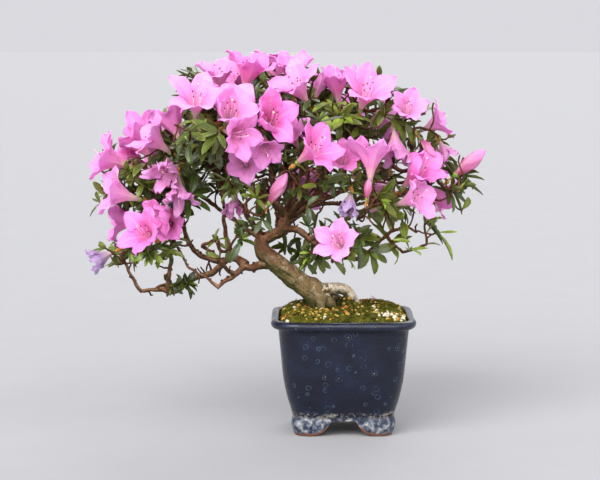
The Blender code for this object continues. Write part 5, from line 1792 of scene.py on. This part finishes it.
# %% Grow the twigs
STEM_KNEE = 0.35
STEM_END = 0.75
TWIG_STEP = 2.2
TWIG_LEAVE = 0.3
TWIG_ARRIVE = 0.35
TWIG_AIM_BACK = 6.0
TWIG_TRIES = 10
TRIES_FROM_A_JOINT = 2
TWIG_BEND = 1.5
PEDICEL = 6.0
YOUNG_RADIUS = 0.68
THICKENING = 0.34


class Twig:
    """One twig: its path, where it leaves its parent and how many tips each point carries."""

    def __init__(self, path, parent, joint):
        self.path = path
        self.parent = parent
        self.joint = joint
        self.carried = [0] * len(path)

    def load(self, joint):
        """Count one more tip beyond a joint, here and down to the stem."""
        for i in range(joint + 1):
            self.carried[i] += 1
        if self.parent is not None:
            self.parent.load(self.joint)


def stem_of(mass):
    """The stem of a mass, from just inside the end of its bough."""
    path, radii = bough_limbs[mass[1]]
    end = path[-1]
    way = (path[-1] - path[-3]).normalized()
    middle = Vector(mass[2])
    knee = end + way * (middle - end).length * STEM_KNEE
    stem_path, _ = even_path([end - way * 2.0, knee, end.lerp(middle, STEM_END)], TWIG_STEP)
    stem = Twig(kinked(stem_path, 1.2, 6.0, len(mass[0])), None, 0)
    stem.foot_radius = radii[-1] * 0.97
    return stem


def curved(joint, joint_way, place, way, bulge):
    """A curve that leaves a joint forwards and arrives along a heading."""
    reach = (place - joint).length
    leave = joint + joint_way * reach * TWIG_LEAVE + bulge
    arrive = place - way * reach * TWIG_ARRIVE + bulge
    steps = max(3, round(reach / TWIG_STEP))
    path = []
    for step in range(steps + 1):
        t = step / steps
        u = 1 - t
        path.append(u ** 3 * joint + 3 * t * u ** 2 * leave + 3 * t ** 2 * u * arrive + t ** 3 * place)
    return path


def grow_twigs(stem, tips):
    """Branch from the stem to the tips in order of their distance."""
    twigs = [stem]
    joints = [(stem, i) for i in range(2, len(stem.path))]
    joint_points = [stem.path[i] for _, i in joints]
    for tip in sorted(tips, key=lambda t: (t.place - stem.path[0]).length):
        goal = tip.place - tip.way * (PEDICEL * tip.size if tip.kind != "sprig" else 0.0)
        aimed = goal - tip.way * TWIG_AIM_BACK
        distances = np.linalg.norm(np.array([tuple(p) for p in joint_points]) - np.array(aimed), axis=1)
        ranked = np.argsort(distances)
        for attempt in range(TWIG_TRIES):
            parent, at = joints[ranked[min(4 * (attempt // TRIES_FROM_A_JOINT), len(ranked) - 1)]]
            start = parent.path[at]
            start_way = (parent.path[at] - parent.path[at - 1]).normalized()
            bulge = Vector([tip.rng.uniform(-1, 1) for _ in range(3)]) * TWIG_BEND * (attempt + 1)
            path = kinked(curved(start, start_way, goal, tip.way, bulge), 1.3, 5.0, tip.turn)
            if not meets_bloom(path, tip, front=1.0).any():
                break
        else:
            if not tip.shown:
                continue
        twig = Twig(path, parent, at)
        twig.load(len(path) - 1)
        tip.path = path
        twigs.append(twig)
        for i in range(1, len(path) - 1):
            joints.append((twig, i))
            joint_points.append(path[i])
    return twigs


twig_limbs = []
for mass in MASSES:
    stem = stem_of(mass)
    for twig in grow_twigs(stem, tips_of[mass[0]]):
        radii = [YOUNG_RADIUS * max(1, n) ** THICKENING for n in twig.carried]
        if twig is stem:
            last = len(radii) - 1
            radii = [r + (stem.foot_radius - r) * max(0.0, 1 - 2.5 * i / last) for i, r in enumerate(radii)]
        twig_limbs.append((twig.path, radii))
print("twigs:", len(twig_limbs))

# %% [markdown]
# Where old shoots were pinched off, blunt knobs are left, and here and there a bare shoot still
# stands. They sit on every bough at odd angles and make it look old. Over the fork the photograph
# shows a fan of thin, nearly bare stems, so their turns are given in a table.

# %% Knobs, bare shoots and the fan
KNOB_SPACING = 6.0
SHOOT_SHARE = 0.3
rng = random.Random("knobs")
knobs = []
for path, radii in bough_limbs.values():
    at = rng.randint(5, 9)
    while at < len(path) - 3:
        way = (path[at + 1] - path[at - 1]).normalized()
        side, other = square_to(way, rng.uniform(0, FULL_TURN))
        lean = (side + way * rng.uniform(-0.2, 1.0) + Vector((0, 0, 0.3))).normalized()
        bend = (lean + other * rng.uniform(-0.6, 0.6) + Vector((0, 0, 0.3))).normalized()
        foot = path[at]
        if rng.random() < SHOOT_SHARE:
            length = radii[at] + rng.uniform(5, 13)
            thick = min(radii[at] * 0.5, rng.uniform(0.55, 0.75))
            turns = [foot, foot + lean * length * 0.5, foot + (lean + bend) * length * 0.45]
            shoot, _ = even_path(turns, 1.5)
            girths = list(np.linspace(thick * 1.5, thick * 0.85, len(shoot)))
            knobs.append((kinked(shoot, 0.9, 3.5, at), girths))
        else:
            length = radii[at] + rng.uniform(0.4, 1.8)
            thick = min(radii[at] * 0.7, rng.uniform(0.8, 1.3))
            knob = [foot, foot + lean * length * 0.6, foot + lean * length * 0.85, foot + lean * length]
            knobs.append((knob, [thick * 1.3, thick * 1.1, thick, thick * 0.55]))
        at += max(3, round(KNOB_SPACING * rng.uniform(0.4, 1.8)))
# Thin stems that fan out over the fork: radius at the foot and at the end, points
FAN = (
    (1.6, 0.8, (-45, -1, 163), (-49, -5, 173), (-55, -9, 183), (-59, -13, 196)),
    (1.7, 0.8, (-41, -1, 165), (-33, -8, 174), (-21, -13, 182), (-10, -17, 194)),
    (1.5, 0.8, (-41, -1, 166), (-31, -5, 177), (-24, -8, 186), (-16, -9, 199)),
    (1.4, 0.8, (-43, -1, 167), (-40, -7, 179), (-35, -12, 192), (-33, -14, 202)),
    (1.2, 0.7, (-58, -3, 149), (-66, -12, 156), (-72, -18, 166), (-74, -20, 178)),
    (1.1, 0.7, (-28, -13, 151), (-22, -20, 158), (-20, -24, 168), (-14, -27, 178)),
)
fan_limbs = []
for i, (foot_radius, end_radius, *points) in enumerate(FAN):
    path, _ = even_path(points, 1.6)
    fan_limbs.append((kinked(path, 1.4, 5.0, i + 40), list(np.linspace(foot_radius, end_radius, len(path)))))
meeting = [path for path, _ in fan_limbs if meets_bloom(path, front=1.0).any()]
print("stems of the fan that meet a bloom:", len(meeting))
twigs = tubes("twigs", twig_limbs + knobs + fan_limbs, 7, twig_bark, (3.0, 0.5), (1.0, 0.12))
settle(twigs, MASS_NODES)

# %% [markdown]
# ## Petals as meshes
#
# Every lobe becomes a closed sheet. The blooms are dealt into three pieces of slightly different pink,
# because no two on a plant are the same age. Within a bloom the colour goes from a cream tube through
# a deep throat to a clear violet-pink edge. Each of these zones has its own material, and a gentle
# ramp along the petal, read from its UV map, hides the step between them.

# %% Petal colours
FRECKLE_SPACING = 1.25


def petal_paint(name, low, high, from_share, to_share, freckled=False):
    """Thin petal tissue whose colour goes from low to high along the petal."""
    paint = Paint(name, 0.5, Sheen_Weight=0.15)
    sheet = paint.out("ShaderNodeUVMap", {}, uv_map="sheet")
    parts = paint.add("ShaderNodeSeparateXYZ", {"Vector": sheet}).outputs
    across, along = parts["X"], parts["Y"]
    soft = paint.times(paint.minus(paint.noise(7, 3), 0.5), 0.10)
    colour = paint.mix(paint.range(paint.plus(along, soft), from_share, to_share), low, high)
    # A pale rib up the middle that fades towards the tip
    rib = paint.range(paint.math("ABSOLUTE", paint.minus(across, 0.5)), 0.10, 0.0)
    rib = paint.times(paint.times(rib, paint.range(along, 1.0, 0.35)), 0.6)
    colour = paint.mix(rib, colour, (0.96, 0.68, 0.80))
    # Darker veins along the petal
    vein_place = {0: paint.times(across, 16.0), 1: paint.times(along, 2.2)}
    links = {"Vector": paint.out("ShaderNodeCombineXYZ", vein_place), "Scale": 1.0, "Detail": 3.0}
    veins = paint.out("ShaderNodeTexNoise", links)
    colour = paint.mix(paint.times(paint.range(veins, 0.52, 0.7), 0.26), colour, tinted(low, 0.85))
    if freckled:
        spots = paint.add("ShaderNodeTexVoronoi", {"Vector": paint.place, "Scale": 1000 / FRECKLE_SPACING})
        dots = paint.range(spots.outputs["Distance"], 0.34, 0.2)
        dots = paint.times(dots, paint.range(along, 0.74, 0.6))
        colour = paint.mix(paint.times(dots, 0.6), colour, (0.48, 0.03, 0.22))
    paint.feed("Base Color", colour)
    paint.bump(paint.plus(veins, paint.times(paint.noise(1.0, 2), 0.3)), 0.6)
    paint.glow(colour, 0.42)
    return paint.material


# Colours at the foot, where the tube ends, where the throat ends and at the tip
PINKS = {
    "pale": ((0.94, 0.76, 0.64), (0.95, 0.48, 0.72), (0.97, 0.40, 0.82), (0.98, 0.49, 0.89)),
    "clear": ((0.93, 0.70, 0.60), (0.94, 0.37, 0.67), (0.96, 0.34, 0.78), (0.98, 0.43, 0.87)),
    "deep": ((0.92, 0.62, 0.56), (0.90, 0.24, 0.56), (0.94, 0.25, 0.70), (0.97, 0.35, 0.81)),
}
WITHERED = {
    "violet": ((0.86, 0.70, 0.60), (0.74, 0.54, 0.64), (0.48, 0.30, 0.58), (0.62, 0.44, 0.72)),
    "rosy": ((0.88, 0.62, 0.58), (0.82, 0.42, 0.62), (0.78, 0.27, 0.62), (0.86, 0.42, 0.76)),
}
VIOLET_FROM = ("mass_left_tip", "mass_centre_right")
# How common each of the three pinks is
PINK_SHARES = (5, 6, 3)


def zone_paints(name, colours):
    """The materials of a bloom's zones."""
    foot, tube_end, throat_end, end = colours
    return [
        petal_paint(f"petal_{name}_tube", foot, tube_end, 0.0, 0.34),
        petal_paint(f"petal_{name}_throat", tube_end, throat_end, 0.27, 0.6),
        petal_paint(f"petal_{name}_lobe", throat_end, end, 0.5, 0.85),
        petal_paint(f"petal_{name}_blotch", tube_end, throat_end, 0.3, 0.75, freckled=True),
    ]


def petal_zone(row, column, inner, upper):
    """Which zone a face of a petal belongs to."""
    if row < THROAT_FROM:
        return 0
    if upper and inner and THROAT_FROM <= row <= LOBE_FROM + 3 and 1 <= column <= len(COLUMNS) - 3:
        return 3
    return 1 if row < LOBE_FROM else 2


def petals_piece(name, tips, paints):
    """All petals of these tips in one mesh."""
    rows, columns = len(ROWS) - 1, len(COLUMNS) - 1
    shares = [((c + 1) / 2, r) for r in ROWS for c in COLUMNS]
    # The faces of the rim start and end at the petal's foot
    rim = 2 * (rows + columns)
    rim_zones = [0 if i < THROAT_FROM or i >= rim - columns - THROAT_FROM else 2 for i in range(rim)]
    points, faces, zones, uv = [], [], [], []
    for tip in tips:
        heights = [float(grid[-1, columns // 2, 2]) for grid, _ in tip.grids]
        upper = heights.index(max(heights))
        for number, (grid, normals) in enumerate(tip.grids):
            skin = PETAL_THICKNESS / 2 * normals
            sheets = [sheet.reshape(-1, 3) for sheet in (grid + skin, grid - skin)]
            petal_points, petal_faces = sheet_pair(*sheets, rows, columns)
            faces += [tuple(len(points) + i for i in face) for face in petal_faces]
            points += petal_points
            zones += [petal_zone(row, column, inner, number == upper)
                      for row in range(rows) for column in range(columns) for inner in (True, False)]
            zones += rim_zones
            uv += shares + shares
    piece = new_object(name, points, faces, uv=uv)
    piece.data.polygons.foreach_set("material_index", zones)
    for material in paints:
        piece.data.materials.append(material)
    turn_faces_out(piece)
    settle(piece, MASS_NODES)


dealt = {shade: [] for shade in PINKS}
for tip in flowers:
    if tip.kind == "open":
        shade = random.Random(f"shade {tuple(tip.place)}").choices(list(PINKS), PINK_SHARES)[0]
        dealt[shade].append(tip)
for shade, tips in dealt.items():
    petals_piece(f"petals_{shade}", tips, zone_paints(shade, PINKS[shade]))
faded = {shade: [] for shade in WITHERED}
for name, tips in tips_of.items():
    faded["violet" if name in VIOLET_FROM else "rosy"] += [tip for tip in tips if tip.kind == "faded"]
for shade, tips in faded.items():
    petals_piece(f"withered_{shade}", tips, zone_paints(shade, WITHERED[shade]))

# %% [markdown]
# ## Buds
#
# A bud that is about to open is a spindle of furled lobes, wound round each other like an umbrella.
# Five ridges that turn as they climb give that, on a ring whose size follows the bud's outline. The
# tight ones are deep pink with a pale tip.

# %% Furled buds
BUD_LENGTH = 24.0
BUD_RADIUS = 4.6
BUD_RINGS = 18
BUD_SIDES = 30
BUD_WIND = 2.4


def bud_shape(tip):
    """Points and faces of a furled bud, and its UV map."""
    side, other = square_to(tip.way, tip.turn)
    points, uv = [], []
    for ring in range(1, BUD_RINGS):
        share = ring / BUD_RINGS
        plump = math.sin(math.pi * share ** 1.25) ** 0.8 * (1 - 0.25 * share)
        middle = tip.place + tip.way * BUD_LENGTH * tip.size * share
        for i in range(BUD_SIDES):
            angle = FULL_TURN * i / BUD_SIDES
            furl = (LOBES * (angle / FULL_TURN) - share * BUD_WIND) % 1.0
            radius = BUD_RADIUS * tip.size * (plump * (0.86 + 0.22 * furl) + 0.05)
            points.append(middle + radius * (math.cos(angle) * side + math.sin(angle) * other))
            uv.append((i / BUD_SIDES, share))
    last = (BUD_RINGS - 2) * BUD_SIDES
    foot = len(points)
    points += [tip.place.copy(), tip.place + tip.way * BUD_LENGTH * tip.size]
    uv += [(0.5, 0.0), (0.5, 1.0)]
    faces = []
    for start in range(0, last, BUD_SIDES):
        faces += band(start, start + BUD_SIDES, BUD_SIDES)
    for i in range(BUD_SIDES):
        j = (i + 1) % BUD_SIDES
        faces += [(foot, j, i), (foot + 1, last + i, last + j)]
    return points, faces, uv


points, faces, uv = [], [], []
buds = [tip for tip in all_tips() if tip.kind == "bud"]
for tip in buds:
    bud_points, bud_faces, bud_uv = bud_shape(tip)
    faces += [tuple(len(points) + i for i in face) for face in bud_faces]
    points += bud_points
    uv += bud_uv
bud_piece = new_object("buds", points, faces, uv=uv)
bud_piece.data.materials.append(petal_paint("bud_pink", (0.55, 0.07, 0.20), (0.93, 0.42, 0.78), 0.1, 0.95))
turn_faces_out(bud_piece)
settle(bud_piece, MASS_NODES)

# %% [markdown]
# ## Stamens, calyxes and stalks
#
# Five pale filaments and a longer style come up through the throat and bend towards the light. They
# are limbs too, so the limb tree makes them, and the stalks under the blooms as well. The dark
# anthers, the stigmas and the small green calyxes are placed by geometry nodes: one tree sets a copy
# of a shape on each point, by a turn and a size that are stored there, and keeps the face zones of
# the shapes so that each zone gets its own material.

# %% Copies on points
def copies_tree(zones):
    """A copy of one of a collection's shapes on every point, by its stored turn and size."""
    shaper = Shaper(f"copies_{zones}")
    shapes = shaper.input("Shapes", "Collection")
    finishes = [shaper.input(f"Finish {i}", "Material") for i in range(zones)]
    pick = shaper.read("shape", "INT")
    turn = shaper.out("FunctionNodeEulerToRotation", {0: shaper.read("turn", "FLOAT_VECTOR")})
    copies = shaper.copies(shaper.shape, shapes, pick, turn, shaper.read("size", "FLOAT_VECTOR"))
    return shaper.finish(copies, *finishes)


def turned_to(way, up):
    """Euler angles that bring +X along a heading and +Z as near as can be to another."""
    side = up.cross(way)
    side = side.normalized() if side.length > 1e-4 else way.orthogonal().normalized()
    return Matrix((way, side, way.cross(side))).transposed().to_euler()


def copy_at(place, way, up, size, shape=0, slim=1.0):
    """A copy of one of the shapes: its place, turn, size along each axis and the shape's number."""
    return tuple(place), tuple(turned_to(way, up)), (size, size * slim, size), shape


def copies_piece(name, copies, group, finishes, shaper):
    """Copies of a collection's shapes as one plain mesh."""
    places, turns, sizes, shapes = zip(*copies)
    mesh = bpy.data.meshes.new(name)
    mesh.from_pydata(places, [], [])
    store(mesh, "turn", np.ravel(turns), "FLOAT_VECTOR")
    store(mesh, "size", np.ravel(sizes), "FLOAT_VECTOR")
    store(mesh, "shape", shapes, "INT")
    piece = linked(name, mesh)
    shaper.run(piece, Shapes=group, **{f"Finish_{i}": finish for i, finish in enumerate(finishes)})
    settle(piece, MASS_NODES)


def ring_round_x(along, radius, sides, teeth=0.0):
    """A ring of points round the X axis, every other one moved along by the length of the teeth."""
    angles = [FULL_TURN * i / sides for i in range(sides)]
    return [Vector((along + teeth * (i % 2), radius * math.cos(angle), radius * math.sin(angle)))
            for i, angle in enumerate(angles)]


def bead(length, width, rings=4, sides=6):
    """A small rounded grain along +X."""
    points = [Vector((0, 0, 0)), Vector((length, 0, 0))]
    faces = []
    for ring in range(1, rings):
        share = ring / rings
        points += ring_round_x(length * share, width / 2 * math.sin(math.pi * share) ** 0.6, sides)
        if ring > 1:
            faces += band(len(points) - 2 * sides, len(points) - sides, sides)
    last = len(points) - sides
    for i in range(sides):
        j = (i + 1) % sides
        faces += [(0, 2 + j, 2 + i), (1, last + i, last + j)]
    return points, faces


# Rings of a calyx: place along, radius and length of the teeth
CALYX_RINGS = ((-0.6, 0.5, 0), (0.4, 1.25, 0), (1.4, 1.75, 0), (2.0, 1.95, 1.5), (1.5, 1.4, 0.9),
               (0.3, 0.6, 0))
CALYX_SIDES = 10


def calyx_shape():
    """A green cup with five short teeth, from its foot at the origin along +X."""
    points, faces = [], [tuple(range(CALYX_SIDES))]
    for along, radius, teeth in CALYX_RINGS:
        points += ring_round_x(along, radius, CALYX_SIDES, teeth)
    last = len(points) - CALYX_SIDES
    for start in range(0, last, CALYX_SIDES):
        faces += band(start, start + CALYX_SIDES, CALYX_SIDES)
    return points, faces + [tuple(range(last, len(points)))]


# %% Stamens and stalks
STAMENS = 5
FILAMENT_RADIUS = 0.21
STYLE_RADIUS = 0.28
STALK_RADII = [0.75, 0.65, 0.6, 0.7]
FILAMENT_STEP = 3.5

filaments, styles, anthers, stigmas, calyxes, stalks, scales = ([] for _ in range(7))
up = Vector((0, 0, 1))
for tip in flowers + buds:
    rng = random.Random(f"stamens {tuple(tip.place)}")
    depth = BLOOM_DEPTH * tip.size
    calyxes.append(copy_at(tip.place - tip.way * 0.3, tip.way, up, tip.size))
    if tip.path:
        foot = tip.path[-1]
        stalks.append(([foot - tip.way * 1.5, foot, tip.place - tip.way * 2.0, tip.place], STALK_RADII))
        for i in range(rng.randint(3, 5)):
            side, _ = square_to(tip.way, rng.uniform(0, FULL_TURN))
            way = (tip.way + side * rng.uniform(0.25, 0.9)).normalized()
            size = rng.uniform(0.7, 1.1)
            scales.append(copy_at(foot + tip.way * rng.uniform(-1.5, 1.5), way, -side, size, i % 2))
    if tip.kind == "bud":
        continue
    side, other = square_to(tip.way, tip.turn)
    lean = (up - tip.way * up.dot(tip.way)) * 0.16
    for i in range(STAMENS + 1):
        style = i == STAMENS
        angle = FULL_TURN * i / STAMENS + rng.uniform(-0.3, 0.3)
        out = (math.cos(angle) * side + math.sin(angle) * other) * (0.0 if style else 1.0)
        length = depth * (0.98 if style else rng.uniform(0.64, 0.84)) * (0.9 if tip.kind == "faded" else 1.0)
        spread = depth * rng.uniform(0.07, 0.15)
        path = [tip.place + tip.way * depth * 0.1 + out * 0.5,
                tip.place + tip.way * length * 0.45 + out * spread * 0.5 - lean * depth * 0.3,
                tip.place + tip.way * length * 0.8 + out * spread * 0.9 - lean * depth * 0.1,
                tip.place + tip.way * length + out * spread + lean * depth * 0.45]
        path, _ = even_path(path, FILAMENT_STEP)
        end_way = (path[-1] - path[-2]).normalized()
        if style:
            styles.append((path, [STYLE_RADIUS] * len(path)))
            stigmas.append(copy_at(path[-1], end_way, up, tip.size, 1))
        else:
            filaments.append((path, [FILAMENT_RADIUS] * len(path)))
            anther_way = (end_way + out * rng.uniform(0.2, 0.9)).normalized()
            anthers.append(copy_at(path[-1] - anther_way * 0.7, anther_way, up, tip.size))

filament_paint = mottled("pale_filament", 0.5, 4, (0.3, (0.92, 0.50, 0.76)), (0.7, (0.95, 0.66, 0.84)),
                         depth=0.05)
style_paint = mottled("pink_style", 0.5, 4, (0.3, (0.88, 0.38, 0.66)), (0.7, (0.93, 0.58, 0.76)), depth=0.05)
stalk_paint = mottled("green_stalk", 0.6, 3, (0.3, (0.20, 0.24, 0.05)), (0.7, (0.34, 0.20, 0.08)), depth=0.1,
                      grain_size=0.6)
settle(tubes("filaments", filaments, 5, filament_paint, (3.0, 0.0)), MASS_NODES)
settle(tubes("styles", styles, 5, style_paint, (3.0, 0.0)), MASS_NODES)
settle(tubes("flower_stalks", stalks, 6, stalk_paint, (2.0, 0.2)), MASS_NODES)

small_shapes = shape_group("flower_part", bead(1.7, 0.95), bead(0.8, 1.5))
calyx_group = shape_group("calyx", calyx_shape())
scale_group = shape_group("bud_scale", cupped_scale(6.5, 3.2, 0.22), cupped_scale(4.6, 2.8, 0.3))
one_finish = copies_tree(1)
anther_paint = mottled("maroon_anther", 0.6, 1, (0.3, (0.07, 0.006, 0.018)), (0.7, (0.16, 0.015, 0.04)),
                       depth=0.05)
stigma_paint = mottled("cream_stigma", 0.4, 1, (0.3, (0.72, 0.60, 0.20)), (0.7, (0.84, 0.76, 0.40)),
                       depth=0.05)
calyx_paint = mottled("green_calyx", 0.6, 2, (0.3, (0.15, 0.25, 0.04)), (0.7, (0.30, 0.36, 0.10)), depth=0.1)
scale_paint = mottled("orange_bud_scale", 0.5, 3, (0.3, (0.36, 0.10, 0.02)), (0.6, (0.55, 0.24, 0.06)),
                      (0.8, (0.66, 0.48, 0.20)), depth=0.1)
copies_piece("anthers", anthers, small_shapes, [anther_paint], one_finish)
copies_piece("stigmas", stigmas, small_shapes, [stigma_paint], one_finish)
copies_piece("calyxes", calyxes, calyx_group, [calyx_paint], one_finish)
copies_piece("bud_scales", scales, scale_group, [scale_paint], one_finish)

# %% [markdown]
# ## Leaves
#
# The leaves are narrow ovals, folded a little along the middle and curved back at the end. They are
# leathery, dark and glossy above, paler below, with a light edge. A leaf is one closed mesh of under
# fifty faces. Above there are five columns of them: two narrow edges, the two halves of the blade, and
# the midrib between them. Below there are two broad ones. The face zones keep blade, edges with midrib
# and underside apart, and each gets a plain colour. Six shapes with other folds and curls are enough,
# because size and turn differ as well.

# %% Leaf shapes
LEAF_LENGTH = 25.0
LEAF_WIDTH = 8.4
LEAF_ROWS = (0.0, 0.12, 0.36, 0.64, 0.87, 1.0)
LEAF_OUTLINE = (0.10, 0.38, 0.88, 1.0, 0.60, 0.05)
LEAF_COLUMNS = (-1.0, -0.84, -0.07, 0.07, 0.84, 1.0)
LEAF_THICKNESS = 0.5


def leaf_shape(fold, curl, slim, sway):
    """A leaf from its root at the origin along +X, its upper side to +Z, with its face zones."""
    upper, lower, faces, zones = [], [], [], []
    for share, half in zip(LEAF_ROWS, LEAF_OUTLINE):
        half *= LEAF_WIDTH / 2 * slim
        turn = curl * share
        x = LEAF_LENGTH * (math.sin(turn) / curl if abs(curl) > 0.01 else share)
        z = -LEAF_LENGTH * ((1 - math.cos(turn)) / curl if abs(curl) > 0.01 else 0.0)
        for column in LEAF_COLUMNS:
            y = half * column + sway * math.sin(math.pi * share)
            lift = abs(half * column) * fold + 0.12 * math.sin(7 * share + 2 * column) * abs(column)
            upper.append(Vector((x + lift * math.sin(turn), y, z + lift * math.cos(turn))))
        for column in (-1.0, 0.0, 1.0):
            y = half * column + sway * math.sin(math.pi * share)
            lift = abs(half * column) * fold - LEAF_THICKNESS * (1 - 0.7 * abs(column))
            lower.append(Vector((x + lift * math.sin(turn), y, z + lift * math.cos(turn))))
    rows = len(LEAF_ROWS)
    below = len(upper)
    for row in range(rows - 1):
        for column in range(5):
            a = row * 6 + column
            faces.append((a, a + 6, a + 7, a + 1))
            zones.append(1 if column in (0, 2, 4) else 0)
        for column in range(2):
            a = below + row * 3 + column
            faces.append((a, a + 1, a + 4, a + 3))
            zones.append(2)
        for above, under in ((row * 6, below + row * 3), (row * 6 + 5, below + row * 3 + 2)):
            faces.append((above, above + 6, under + 3, under))
            zones.append(1)
    for row in (0, rows - 1):
        a, b = row * 6, below + row * 3
        faces.append((a, a + 1, a + 2, a + 3, a + 4, a + 5, b + 2, b + 1, b))
        zones.append(1)
    return upper + lower, faces, zones


# Habits of the shapes: how far a leaf folds and curls, how slim it is and how far it sways
LEAF_HABITS = ((0.25, 0.30, 1.0, 0.4), (0.40, 0.65, 0.9, -0.5), (0.15, 0.10, 1.05, 0.3),
               (0.55, 0.35, 0.8, 0.0), (0.30, 0.95, 0.95, 0.6), (0.35, -0.25, 0.85, -0.3))
leaf_group = shape_group("leaf", *[leaf_shape(*habit) for habit in LEAF_HABITS])

# %% [markdown]
# ## Where the leaves sit
#
# Leaves crowd at the end of a twig in a rosette, each turned by the golden angle from the last, the
# outer ones spread wide and the youngest nearly upright. A sprig ends in such a rosette. A bloom has a
# looser one round its stalk. A few more stand along the young wood. A leaf whose end would leave the
# mass's space, pierce a bloom or block the view of one is left out. Whole sprays share one colour, as
# on the plant: mostly dark, some olive, some fresh, and now and then an old bronze one.

# %% Place the leaves
# How common each colour is among the sprays, and among the young ones low on the right
SPRAY_COLOURS = {"dark": 10, "olive": 8, "fresh": 1.4, "bronze": 0.05}
YOUNG_SPRAYS = {"dark": 1, "olive": 4, "fresh": 12, "bronze": 0.02}
YOUNG_FROM = 20.0
YOUNG_BELOW = 185.0
SHOWN_STAYS = 0.3
SPACE_MARGIN = 3.0
leaf_places = {name: [] for name in SPRAY_COLOURS}


def leaf_rosette(tip, mass):
    """The leaves round the end of a tip's twig and along its young wood."""
    rng = random.Random(f"leaves {tuple(tip.place)}")
    colours = YOUNG_SPRAYS if tip.place.x > YOUNG_FROM and tip.place.z < YOUNG_BELOW else SPRAY_COLOURS
    spray = rng.choices(list(colours), list(colours.values()))[0]
    sprig = tip.kind == "sprig"

    def try_leaf(root, way, up, size, slim, colour=spray):
        """Place one leaf if it keeps to its space and meets no bloom."""
        end = root + way * LEAF_LENGTH * size
        middle = root.lerp(end, 0.55)
        if not tip.shown:
            outside = any(abs(end[k] - mass[2][k]) > mass[3][k] + SPACE_MARGIN for k in range(3))
            if outside or in_open_air(middle) or in_open_air(end):
                return
        if meets_bloom([middle, end, root.lerp(end, 0.25)], tip, front=1.3).any():
            return
        if hides_bloom(middle) or hides_bloom(end):
            return
        if rng.random() > leafiness(middle) + (SHOWN_STAYS if tip.shown else 0.0):
            return
        leaf_places[colour].append(copy_at(root, way, up, size, rng.randrange(len(LEAF_HABITS)), slim))

    count = rng.randint(7, 9) if sprig else rng.randint(4, 6)
    base = tip.place if sprig else tip.path[-1]
    largest = tip.size if sprig else 0.92 * leaf_scale(base)
    for i in range(count):
        share = i / count
        side, _ = square_to(tip.way, tip.turn + i * GOLDEN_ANGLE)
        spread = math.radians(rng.uniform(62, 84) - (34 * share if sprig else 0))
        way = (tip.way * math.cos(spread) + side * math.sin(spread) + Vector((0, 0, -0.06))).normalized()
        up = (tip.way * 0.8 + Vector((0, 0, 0.5)) + side * rng.uniform(-0.2, 0.2)).normalized()
        root = base - tip.way * (2.6 * (1 - share) - (0.6 if sprig else 2.5 * share))
        size = rng.uniform(0.72, 1.05) * (1.0 - 0.35 * share) * largest
        try_leaf(root, way, up, size, rng.uniform(0.85, 1.1))
    for _ in range(rng.randint(2, 4) if sprig else 0):
        side, _ = square_to(tip.way, rng.uniform(0, FULL_TURN))
        spread = math.radians(rng.uniform(8, 34))
        way = (tip.way * math.cos(spread) + side * math.sin(spread)).normalized()
        young = "fresh" if colours is YOUNG_SPRAYS or rng.random() < 0.25 else "olive"
        try_leaf(tip.place, way, -side, rng.uniform(0.22, 0.42), 0.8, young)
    for at in range(len(tip.path) - 4, 0, -2):
        if len(tip.path) - at > 9 or rng.random() < 0.35:
            continue
        way_on = (tip.path[at + 1] - tip.path[at]).normalized()
        side, _ = square_to(way_on, rng.uniform(0, FULL_TURN))
        up = (way_on + Vector((0, 0, 0.8))).normalized()
        try_leaf(tip.path[at], (way_on * 0.6 + side).normalized(), up, rng.uniform(0.45, 0.8), 0.95)


for mass in MASSES:
    for tip in tips_of[mass[0]]:
        if tip.path and not tip.bare:
            leaf_rosette(tip, mass)
print("leaves:", {name: len(placed) for name, placed in leaf_places.items()})

# %% [markdown]
# ## Leaf colours
#
# A leaf's gloss comes from its wax, so the upper side is smooth with a low, broad shine. The colour of
# each zone is nearly plain. A slow noise only shifts it from leaf to leaf, and a finer one gives the
# blade its slight quilting.

# %% Leaf finishes and pieces
LEAF_GLOW = 0.12
LEAF_ROUGHNESS = {"upper": 0.3, "edge": 0.4, "under": 0.6}
# The colours of blade, edge and underside for each kind of spray
LEAF_COLOURS = {
    "dark": ((0.036, 0.060, 0.009), (0.080, 0.096, 0.018), (0.12, 0.14, 0.032)),
    "olive": ((0.080, 0.110, 0.011), (0.15, 0.17, 0.024), (0.18, 0.19, 0.038)),
    "fresh": ((0.20, 0.29, 0.028), (0.26, 0.32, 0.05), (0.28, 0.34, 0.06)),
    "bronze": ((0.16, 0.075, 0.020), (0.22, 0.11, 0.03), (0.22, 0.13, 0.04)),
}


def leaf_paint(name, colour, roughness):
    """Leaf tissue in nearly one colour."""
    paint = Paint(name, roughness, Specular_IOR_Level=0.5)
    stops = (0.32, tinted(colour, 0.6)), (0.5, colour), (0.68, tinted(colour, 1.55))
    tone = paint.ramp(paint.noise(11, 3), *stops)
    paint.feed("Base Color", tone)
    paint.bump(paint.noise(1.6, 2), 0.25)
    paint.glow(tone, LEAF_GLOW)
    return paint.material


three_finishes = copies_tree(3)
for name, colours in LEAF_COLOURS.items():
    finishes = [leaf_paint(f"leaf_{name}_{zone}", colour, roughness)
                for (zone, roughness), colour in zip(LEAF_ROUGHNESS.items(), colours)]
    copies_piece(f"leaves_{name}", leaf_places[name], leaf_group, finishes, three_finishes)

for group in shape_groups:
    for obj in list(group.objects):
        bpy.data.objects.remove(obj)
    bpy.data.collections.remove(group)

# %% [markdown]
# ## Size
#
# Both the box of the solids and that of the dressed plant are printed, in millimetres.

# %% Print the boxes
visual_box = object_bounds()
for label, (low, high) in (("solids", cad_box), ("dressed", visual_box)):
    print(label, [round((b - a) * 1000, 1) for a, b in zip(low, high)])
